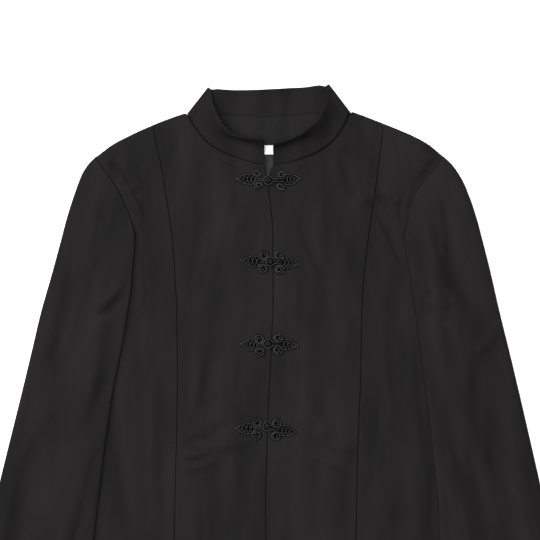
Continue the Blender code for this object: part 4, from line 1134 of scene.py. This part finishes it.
class Finish:
    """A material whose nodes are added through one method."""

    def __init__(self, name):
        self.material = bpy.data.materials.new(name)
        self.material.use_nodes = True
        self.nodes, self.links = self.material.node_tree.nodes, self.material.node_tree.links
        self.shader = self.nodes["Principled BSDF"]

    def add(self, kind, values=(), out=0, **settings):
        """Adds a node of a kind with its settings, then its sockets' values or links."""
        node = self.nodes.new("ShaderNode" + kind)
        for name, value in settings.items():
            setattr(node, name, value)
        self.feed(node, values)
        return Sums(self, node.outputs[out])

    def feed(self, node, values):
        """Sets or links the sockets of a node."""
        for key, value in dict(values).items():
            if isinstance(value, Sums):
                self.links.new(value.socket, node.inputs[key])
            else:
                node.inputs[key].default_value = value

    def mixed(self, factor, first, second):
        """A colour between two others."""
        values = dict(zip(MIX_INPUTS, (factor, (*first, 1.0), (*second, 1.0))))
        return self.add("Mix", values, out=MIX_OUTPUT, data_type="RGBA")

    def grain(self, turn=0.0):
        """The object's own place in millimetres, turned to the cloth's grain."""
        place = self.add("TexCoord", out="Object")
        values = {"Vector": place, "Scale": (1.0 / MM,) * 3, "Rotation": (0.0, 0.0, turn)}
        return self.add("Mapping", values)

    def parts(self, vector):
        """The three numbers of a vector."""
        node = self.add("SeparateXYZ", {0: vector}).socket.node
        return [Sums(self, socket) for socket in node.outputs]

    def stretched_noise(self, vector, scale, size, detail=3.0):
        """Noise over a vector that is scaled along each axis first."""
        scaled = self.add("VectorMath", {0: vector, 1: scale}, operation="MULTIPLY")
        return self.add("TexNoise", {"Vector": scaled, "Scale": 1.0 / size, "Detail": detail})

    def bumped(self, height, distance, strength=1.0):
        """Links a height in metres to the shader's normal."""
        values = {"Height": height, "Distance": distance, "Strength": strength}
        self.feed(self.shader, {"Normal": self.add("Bump", values)})


def suiting(name, colour, thread, turn=0.0):
    """Black woven suiting: a fine twill, uneven yarns, a faint melange, and long streaks of painted shade in
    its colour that stand in for the shading of soft folds.
    """
    cloth = Finish(name)
    place = cloth.grain(turn)
    x, y, z = cloth.parts(place)
    warp = (x * (2.0 * math.pi / thread)).sine()
    twill = ((x + y + z) * (math.pi / thread)).sine()
    yarns = cloth.stretched_noise(place, (2.4, 0.35, 1.0), 1.0)
    flecks = cloth.stretched_noise(place, (1.0, 0.5, 1.0), 0.9, 1.0)
    # Long soft streaks of painted shade: darker and paler bands in the colour that stand in for fold shading
    fold_shade_streaks = cloth.stretched_noise(place, (1.0, 0.2, 1.0), 24.0, 2.0)
    # The tone is mostly the painted fold shade; the yarns and flecks add the cloth's own unevenness
    tone = yarns * 0.3 + flecks * 0.2 + (fold_shade_streaks - 0.5) * 1.2 + 0.25
    pale = tuple(c * 1.7 for c in colour)
    deep = tuple(c * 0.4 for c in colour)
    values = {
        "Base Color": cloth.mixed(tone, deep, pale),
        "Roughness": 0.62 + flecks * 0.16,
        "Specular IOR Level": 0.07,
        "Sheen Weight": 0.01,
        "Sheen Roughness": 0.4,
    }
    cloth.feed(cloth.shader, values)
    cloth.bumped(twill * 0.35 + warp * 0.12 + yarns * 0.9 + flecks * 0.5, 0.00012)
    return cloth.material


def satin(name, colour):
    """Lining satin: smooth, with fine slanting floats."""
    cloth = Finish(name)
    place = cloth.grain()
    x, y = cloth.parts(place)[:2]
    floats = ((x * 0.8 + y) * (2.0 * math.pi / 0.35)).sine()
    wear = cloth.stretched_noise(place, (1.0, 0.25, 1.0), 6.0, 2.0)
    pale = tuple(min(1.0, c * 1.25) for c in colour)
    values = {
        "Base Color": cloth.mixed(wear, colour, pale),
        "Roughness": 0.25 + wear * 0.1,
        "Specular IOR Level": 0.1,
    }
    cloth.feed(cloth.shader, values)
    cloth.bumped(floats * 0.2 + wear, 0.0001)
    return cloth.material


def tape(name, colour):
    """White label tape, closely woven, with a ribbed face."""
    cloth = Finish(name)
    place = cloth.grain()
    x, y = cloth.parts(place)[:2]
    ribs = (y * (2.0 * math.pi / 0.45)).sine() * 0.6 + (x * (2.0 * math.pi / 0.3)).sine() * 0.3
    soil = cloth.stretched_noise(place, (1.0, 1.0, 1.0), 1.6)
    deep = tuple(c * 0.88 for c in colour)
    values = {"Base Color": cloth.mixed(soil, deep, colour), "Roughness": 0.6 + soil * 0.2}
    cloth.feed(cloth.shader, values)
    cloth.bumped(ribs, 0.00008)
    return cloth.material


def braid(name, colour):
    """Black rayon cord: silky threads with a soft highlight."""
    cord = Finish(name)
    place = cord.grain()
    threads = cord.stretched_noise(place, (1.0, 1.0, 1.0), 0.25, 2.0)
    tone = cord.stretched_noise(place, (1.0, 1.0, 1.0), 1.5, 2.0)
    pale = tuple(c * 1.7 for c in colour)
    values = {
        "Base Color": cord.mixed(tone, colour, pale),
        "Roughness": 0.18 + threads * 0.22,
        "Specular IOR Level": 0.27,
    }
    cord.feed(cord.shader, values)
    cord.bumped(threads, 0.00025)
    return cord.material


def felt(name, colour):
    """Matt dark cloth under the frogs: painted shade that shows dark between their cords and round their
    coils.
    """
    cloth = Finish(name)
    fibres = cloth.stretched_noise(cloth.grain(), (1.0, 1.0, 1.0), 0.4)
    pale = tuple(c * 1.4 for c in colour)
    values = {"Base Color": cloth.mixed(fibres, colour, pale), "Roughness": 0.9, "Specular IOR Level": 0.02}
    cloth.feed(cloth.shader, values)
    cloth.bumped(fibres, 0.0002)
    return cloth.material


def once(name, make, *values):
    """A material of that name, made the first time that it is asked for."""
    return bpy.data.materials.get(name) or make(name, *values)


def length(name, description, default):
    """A length property, in metres."""
    return bpy.props.FloatProperty(name=name, description=description, default=default, unit="LENGTH")


def amount(name, description, default):
    """A plain number's property."""
    return bpy.props.FloatProperty(name=name, description=description, default=default)


def colour(name, description, default):
    """A colour property."""
    return bpy.props.FloatVectorProperty(
        name=name, description=description, default=default, subtype="COLOR", min=0.0, max=1.0
    )


class BlazerCloth(bpy.types.PropertyGroup):
    """Sizes and colours of the cloth."""

    step: length("Mesh step", "Distance between points of the cloth's meshes", 0.003)
    wall: length("Cloth thickness", "Thickness of the outer cloth with its turnings", 0.0015)
    thread: length("Thread spacing", "Distance between the yarns of the suiting", 0.0007)
    edge: length("Edge rounding", "Radius of a turned edge", 0.0008)
    suiting: colour("Suiting", "Colour of the outer cloth", (0.0062, 0.0055, 0.0058))
    # The facing is the same suiting made paler: painted light for the brighter inside of the neck
    facing: colour("Facing", "Colour of the facing inside the neck", (0.0069, 0.0063, 0.0066))
    satin: colour("Lining", "Colour of the lining satin", (0.0060, 0.0058, 0.0060))
    label: colour("Label", "Colour of the bare label", (0.7000, 0.7000, 0.6900))


class BlazerFrogs(bpy.types.PropertyGroup):
    """Sizes and colour of the cord frogs."""

    step: length("Cord step", "Distance between rings of the cord's mesh", 0.00045)
    twist: length("Twist", "Length of one turn of the cord's plies", 0.0032)
    cord: colour("Cord", "Colour of the rayon cord", (0.0014, 0.0013, 0.0014))
    # Its colour is painted shade, darker than the suiting, for the gaps between the cords
    felt: colour("Backing", "Colour of the felt behind the cords", (0.0010, 0.0010, 0.0010))


class BlazerStage(bpy.types.PropertyGroup):
    """The floor, the light and the camera."""

    field: length("Field width", "Width of floor that the picture takes in", 0.630)
    height: length("Camera height", "Height of the camera above the floor", 3.0)
    aim: length("Camera aim", "How far up the garment the camera looks straight down", 0.1365)
    aside: length("Camera offset", "How far to the right of the middle the camera stands", 0.0008)
    floor: colour("Floor", "Colour of the floor", (0.9, 0.9, 0.9))
    glow: amount("Floor glow", "Light that the floor gives off itself", 0.25)
    softbox: amount("Softbox", "Power of the softbox overhead", 160.0)
    key: amount("Key light", "Strength of the light from the left", 1.8)
    fill: amount("Fill light", "Strength of the even fill light", 0.3)


class BLAZER_OT_back(bpy.types.Operator):
    """Make the back, flat on the surface"""

    bl_idname = "blazer.back"
    bl_label = "Back"

    def execute(self, context):
        cloth = context.scene.blazer_cloth
        step = 2.0 * cloth.step / MM
        shoulders = {side: SHOULDER_LINE[side] for side in SIDES}
        neck = course(np.stack([BACK_NECK["x"], BACK_NECK["y"]], -1))
        top = joined(
            (stretch(shoulders["left"], 1.0, 0.0), 0.27), (neck, 0.46), (shoulders["right"], 0.27)
        )
        hem = hem_curve(BODY_SIDE["left"](1.0)[0], BODY_SIDE["right"](1.0)[0])
        rows = shares(SHOULDER_LEVEL - HEM_SIDE, step)
        columns = shares(BACK_WIDTH, step)
        plan = patch(BODY_SIDE["left"], BODY_SIDE["right"], top, hem, *grid(columns, rows))
        plan[..., 1] -= BACK_HEM_DROP * smooth((HEM_SIDE + BACK_HEM_BLEND - plan[..., 1]) / BACK_HEM_BLEND)
        tuck = rolled(rim_distance(plan), cloth.edge / MM)
        points, faces = shell(raised(plan, WALL - 0.1 - tuck), raised(plan, 0.3 * tuck))
        finish = once("body_suiting", suiting, cloth.suiting, cloth.thread / MM)
        made = piece("back_cloth", points, faces, finish, "suiting", "back")
        laid(made, plan)
        return {"FINISHED"}


class BLAZER_OT_fronts(bpy.types.Operator):
    """Make the four front panels, with their creases"""

    bl_idname = "blazer.fronts"
    bl_label = "Fronts"

    def execute(self, context):
        cloth = context.scene.blazer_cloth
        finish = once("body_suiting", suiting, cloth.suiting, cloth.thread / MM)
        wall, radius = cloth.wall / MM, cloth.edge / MM
        for side in SIDES:
            plans = front_plans(side, cloth.step / MM)
            for place, plan in zip(("side", "center"), plans):
                top = front_top(plan)
                tuck = rolled(rim_distance(plan), radius)
                points, faces = shell(raised(plan, top - tuck), raised(plan, top - wall))
                node = f"front_{place}_{side}"
                made = piece(node + "_cloth", points, faces, finish, "suiting", node)
                laid(made, plan)
        return {"FINISHED"}


class BLAZER_OT_sleeves(bpy.types.Operator):
    """Make the two flattened sleeves, open at the cuff"""

    bl_idname = "blazer.sleeves"
    bl_label = "Sleeves"

    def execute(self, context):
        cloth = context.scene.blazer_cloth
        wall, step = cloth.wall / MM, cloth.step / MM
        for side, sign in SIDES.items():
            outer, inner = tube_rings(side, 0.0, step), tube_rings(side, wall, step)
            points, faces = lofted(outer)
            inner_points, inner_faces = lofted(inner)
            count, ring = len(points), outer.shape[1]
            place = np.arange(ring)
            ahead = np.roll(place, -1)
            start = np.stack([place, ahead, count + ahead, count + place], -1)
            end = start + (len(outer) - 1) * ring
            faces = np.concatenate([faces, inner_faces[:, ::-1] + count, start, end[:, ::-1]])
            values = (cloth.suiting, cloth.thread / MM, -sign * math.radians(SLEEVE_GRAIN))
            finish = once(side + "_sleeve_suiting", suiting, *values)
            points = np.concatenate([points, inner_points])
            made = piece(f"sleeve_{side}_cloth", points, faces, finish, "suiting", "sleeve_" + side)
            girths = np.linalg.norm(np.diff(outer[..., :2], axis=1, append=outer[:, :1, :2]), axis=-1).sum(1)
            long = SHOULDER_LEVEL - SLEEVE_OUTER["level"][-1] + SLEEVE_SLANT
            area = float(girths.mean()) * long * MM * MM
            flat = (float(girths.max()) * MM, long * MM)
        return {"FINISHED"}


class BLAZER_OT_collar(bpy.types.Operator):
    """Make the stand collar, open at the front"""

    bl_idname = "blazer.collar"
    bl_label = "Collar"

    def execute(self, context):
        cloth = context.scene.blazer_cloth
        middle, heights, places = collar_middle(cloth.step / MM)
        along, up = np.gradient(middle, axis=1), np.gradient(middle, axis=0)
        normal = np.cross(up, along)
        normal /= np.linalg.norm(normal, axis=-1, keepdims=True)
        half = WALL / 2.0 - 0.1
        rise = heights * COLLAR_HEIGHT
        to_top = np.clip((rise[-1] - rise) / half, 0.0, 1.0)[:, None]
        to_end = np.clip(np.minimum(places, places[-1] - places) / half, 0.0, 1.0)[None, :]
        thick = half * np.sqrt(1.0 - (1.0 - np.minimum(to_top, to_end)) ** 2) * 0.92 + half * 0.08
        points, faces = shell(middle + normal * thick[..., None], middle - normal * thick[..., None])
        finish = once("body_suiting", suiting, cloth.suiting, cloth.thread / MM)
        made = piece("collar_cloth", points, faces, finish, "suiting", "collar")
        return {"FINISHED"}


class BLAZER_OT_neck(bpy.types.Operator):
    """Make the facing, the lining and the bare label that show inside the neck"""

    bl_idname = "blazer.neck"
    bl_label = "Inside of the neck"

    def flat_piece(self, name, plan, low, thickness, finish, slot, node, rests_on, sag=0.0):
        """One sheet inside the neck, with rounded edges, whose upper side sags by a given depth."""
        tuck = rolled(rim_distance(plan), thickness)
        points, faces = shell(raised(plan, low + thickness - tuck - sag), raised(plan, low - 0.1))
        laid(piece(name, points, faces, finish, slot, node), plan)

    def execute(self, context):
        cloth = context.scene.blazer_cloth
        step = cloth.step / MM / 2.0
        facing_top = WALL + SEAM_GAP + FLAT_THICKNESS
        seam = course(np.stack([COLLAR_BACK["seam_x"], COLLAR_BACK["seam_y"] - FACING_SEAM_DROP], -1))
        rows = {side: np.stack([FACING_SIDES[side + "_x"], FACING_SIDES[side + "_y"]], -1) for side in SIDES}
        left = course(np.vstack([seam(0.0), rows["left"]]))
        right = course(np.vstack([seam(1.0), rows["right"]]))
        bottom = course([left(1.0), right(1.0)])
        plan = patch(left, right, seam, bottom, *grid(*(shares(size, step) for size in FACING_SIZE)))
        # A paler copy of the suiting: painted light inside the neck
        finish = once("facing_suiting", suiting, cloth.facing, cloth.thread / MM)
        values = (WALL + SEAM_GAP, FLAT_THICKNESS, finish, "facing_cloth", "back_facing", "back_cloth")
        self.flat_piece("facing", plan, *values)
        (x, y), (wide, deep) = LINING_CORNER, LINING_SIZE
        plan = np.stack(grid(x + wide * shares(wide, step), y - deep * shares(deep, step)), -1)
        finish = once("lining_floats", satin, cloth.satin)
        sag = LINING_SAG * np.exp(-(((plan[..., 0] - LINING_SAG_MIDDLE) / LINING_SAG_REACH) ** 2))
        values = (WALL + SEAM_GAP, FLAT_THICKNESS, finish, "lining_satin", "back_lining", "back_cloth", sag)
        self.flat_piece("lining", plan, *values)
        wide, deep, thick = LABEL_SIZE
        x, y = LABEL_MIDDLE
        across, down = shares(wide, step) - 0.5, shares(deep, step) - 0.5
        plan = np.stack(grid(x + wide * across, y - deep * down), -1)
        finish = once("label_weave", tape, cloth.label)
        values = (facing_top + SEAM_GAP, thick, finish, "label_tape", "neck_label", "facing")
        self.flat_piece("label", plan, *values)
        return {"FINISHED"}


class BLAZER_OT_frogs(bpy.types.Operator):
    """Make the four knotted frogs of twisted cord"""

    bl_idname = "blazer.frogs"
    bl_label = "Frogs"

    def cords(self, node, routes):
        """One piece of cords along routes of points, in place of a node."""
        frogs = bpy.context.scene.blazer_frogs
        finish = once("twisted_cord", braid, frogs.cord)
        step, twist = frogs.step / MM, frogs.twist / MM
        parts = [cord_mesh(seated(route), radius, step, twist) for route, radius in routes]
        piece(node + "_cord", *joined_meshes(parts), finish, "frog_braid", node)

    def backing(self, node, plans, rests_on):
        """The dark matt cloth of painted shade beneath a node's cords, over plans of its parts."""
        finish = once("backing_felt", felt, bpy.context.scene.blazer_frogs.felt)
        levels = [front_top(plan) + SEAM_GAP for plan in plans]
        parts = [shell(raised(plan, z + SHADE_FELT_THICKNESS), raised(plan, z)) for plan, z in zip(plans, levels)]
        made = piece(node + "_felt", *joined_meshes(parts), finish, "frog_braid", node)
        whole = np.concatenate([plan.reshape(-1, 2) for plan in plans])
        laid(made, whole)

    def execute(self, context):
        for index in range(len(FROGS["knot_x"])):
            row = {name: column[index] for name, column in FROGS.items()}
            knot = np.array([row["knot_x"], row["knot_y"]])
            for side in SIDES:
                tip = np.array([row[side + "_x"], row[side + "_y"]])
                coils = [np.array([row[f"{side}_{p}_x"], row[f"{side}_{p}_y"]]) for p in ("top", "low")]
                middle = (coils[0] + coils[1]) / 2.0
                outward = (tip - middle) / np.linalg.norm(tip - middle)
                routes = []
                for coil, hand in zip(coils, (1.0, -1.0)):
                    routes.append((coil_route(coil, knot - coil, row["roundness"], hand), COIL_CORD))
                wing = middle + outward * WING_ROOT, tip - outward * WING_TIP
                routes += wing_routes(*wing)
                routes += loop_routes(knot, middle + outward * CORD_ROOT, side)
                node = f"frog_{index + 1}_{side}"
                self.cords(node, routes)
                # Painted shade: dark matt cloth under this half of the frog and a little past its cords
                plans = shade_felt_plans(knot, coils, row["roundness"], *wing)
                self.backing(node, plans, f"front_center_{side}_cloth")
            self.cords(f"frog_{index + 1}_knot", knot_routes(knot))
        return {"FINISHED"}


class BLAZER_OT_stage(bpy.types.Operator):
    """Make the pale floor, the soft light from the upper left and the camera above"""

    bl_idname = "blazer.stage"
    bl_label = "Stage"

    def light(self, name, kind, strength, place, **settings):
        """A light that points from its place at the garment."""
        lamp = bpy.data.lights.new(name, kind)
        lamp.energy = strength
        for key, value in settings.items():
            setattr(lamp, key, value)
        made = bpy.data.objects.new(name, lamp)
        made.location = place
        made.rotation_mode = "QUATERNION"
        made.rotation_quaternion = (Vector(LIGHT_AIM) - Vector(place)).to_track_quat("-Z", "Y")
        bpy.context.scene.collection.objects.link(made)

    def execute(self, context):
        scene, stage = context.scene, context.scene.blazer_stage
        ground = Finish("floor")
        place = ground.grain()
        mottle = ground.stretched_noise(place, (1.0, 1.0, 1.0), 60.0)
        deep = tuple(c * 0.98 for c in stage.floor)
        values = {
            "Base Color": ground.mixed(mottle, deep, stage.floor),
            "Roughness": 0.9,
            "Specular IOR Level": 0.1,
            "Emission Color": (1.0, 1.0, 1.0, 1.0),
            "Emission Strength": stage.glow,
        }
        ground.feed(ground.shader, values)
        corners = [(-1.0, -1.0), (1.0, -1.0), (1.0, 1.0), (-1.0, 1.0)]
        mesh = bpy.data.meshes.new("floor")
        points = [(x * FLOOR_HALF, y * FLOOR_HALF, FLOOR_LEVEL) for x, y in corners]
        mesh.from_pydata(points, [], [(0, 1, 2, 3)])
        mesh.materials.append(ground.material)
        floor = bpy.data.objects.new("floor", mesh)
        scene.collection.objects.link(floor)
        self.light("softbox", "AREA", stage.softbox, SOFTBOX_PLACE, size=SOFTBOX_SIZE)
        self.light("key", "SUN", stage.key, KEY_PLACE, angle=math.radians(KEY_ANGLE))
        world = bpy.data.worlds.new("studio")
        world.use_nodes = True
        sky = world.node_tree.nodes["Background"]
        sky.inputs["Color"].default_value = (1.0, 1.0, 1.0, 1.0)
        sky.inputs["Strength"].default_value = stage.fill
        scene.world = world
        scene.view_settings.view_transform = "Standard"
        view = bpy.data.cameras.new("camera")
        view.lens = view.sensor_width * stage.height / stage.field
        view.clip_end = 100.0
        camera = bpy.data.objects.new("camera", view)
        camera.location = (stage.aside, stage.aim, stage.height)
        scene.collection.objects.link(camera)
        scene.camera = camera
        return {"FINISHED"}


class BLAZER_PT_panel(bpy.types.Panel):
    """Lists the blazer's pieces and their settings"""

    bl_idname = "BLAZER_PT_panel"
    bl_label = "Mandarin collar blazer"
    bl_space_type = "VIEW_3D"
    bl_region_type = "UI"
    bl_category = "Blazer"

    def draw(self, context):
        for group in ("blazer_cloth", "blazer_frogs", "blazer_stage"):
            settings = getattr(context.scene, group)
            box = self.layout.box()
            for name in settings.__annotations__:
                box.prop(settings, name)
        for operator in OPERATORS:
            self.layout.operator(operator.bl_idname)


OPERATORS = (
    BLAZER_OT_stage,
    BLAZER_OT_back,
    BLAZER_OT_neck,
    BLAZER_OT_fronts,
    BLAZER_OT_sleeves,
    BLAZER_OT_collar,
    BLAZER_OT_frogs,
)
GROUPS = {"blazer_cloth": BlazerCloth, "blazer_frogs": BlazerFrogs, "blazer_stage": BlazerStage}


def register():
    """Registers the settings, the operators and the panel."""
    for group in GROUPS.values():
        bpy.utils.register_class(group)
    for operator in OPERATORS:
        bpy.utils.register_class(operator)
    bpy.utils.register_class(BLAZER_PT_panel)
    for name, group in GROUPS.items():
        setattr(bpy.types.Scene, name, bpy.props.PointerProperty(type=group))


def unregister():
    """Takes back what register did."""
    for name in GROUPS:
        delattr(bpy.types.Scene, name)
    bpy.utils.unregister_class(BLAZER_PT_panel)
    for operator in reversed(OPERATORS):
        bpy.utils.unregister_class(operator)
    for group in reversed(GROUPS.values()):
        bpy.utils.unregister_class(group)


def main():
    """Makes every piece in order."""
    register()
    for operator in OPERATORS:
        family, name = operator.bl_idname.split(".")
        getattr(getattr(bpy.ops, family), name)()


if __name__ == "__main__":
    main()
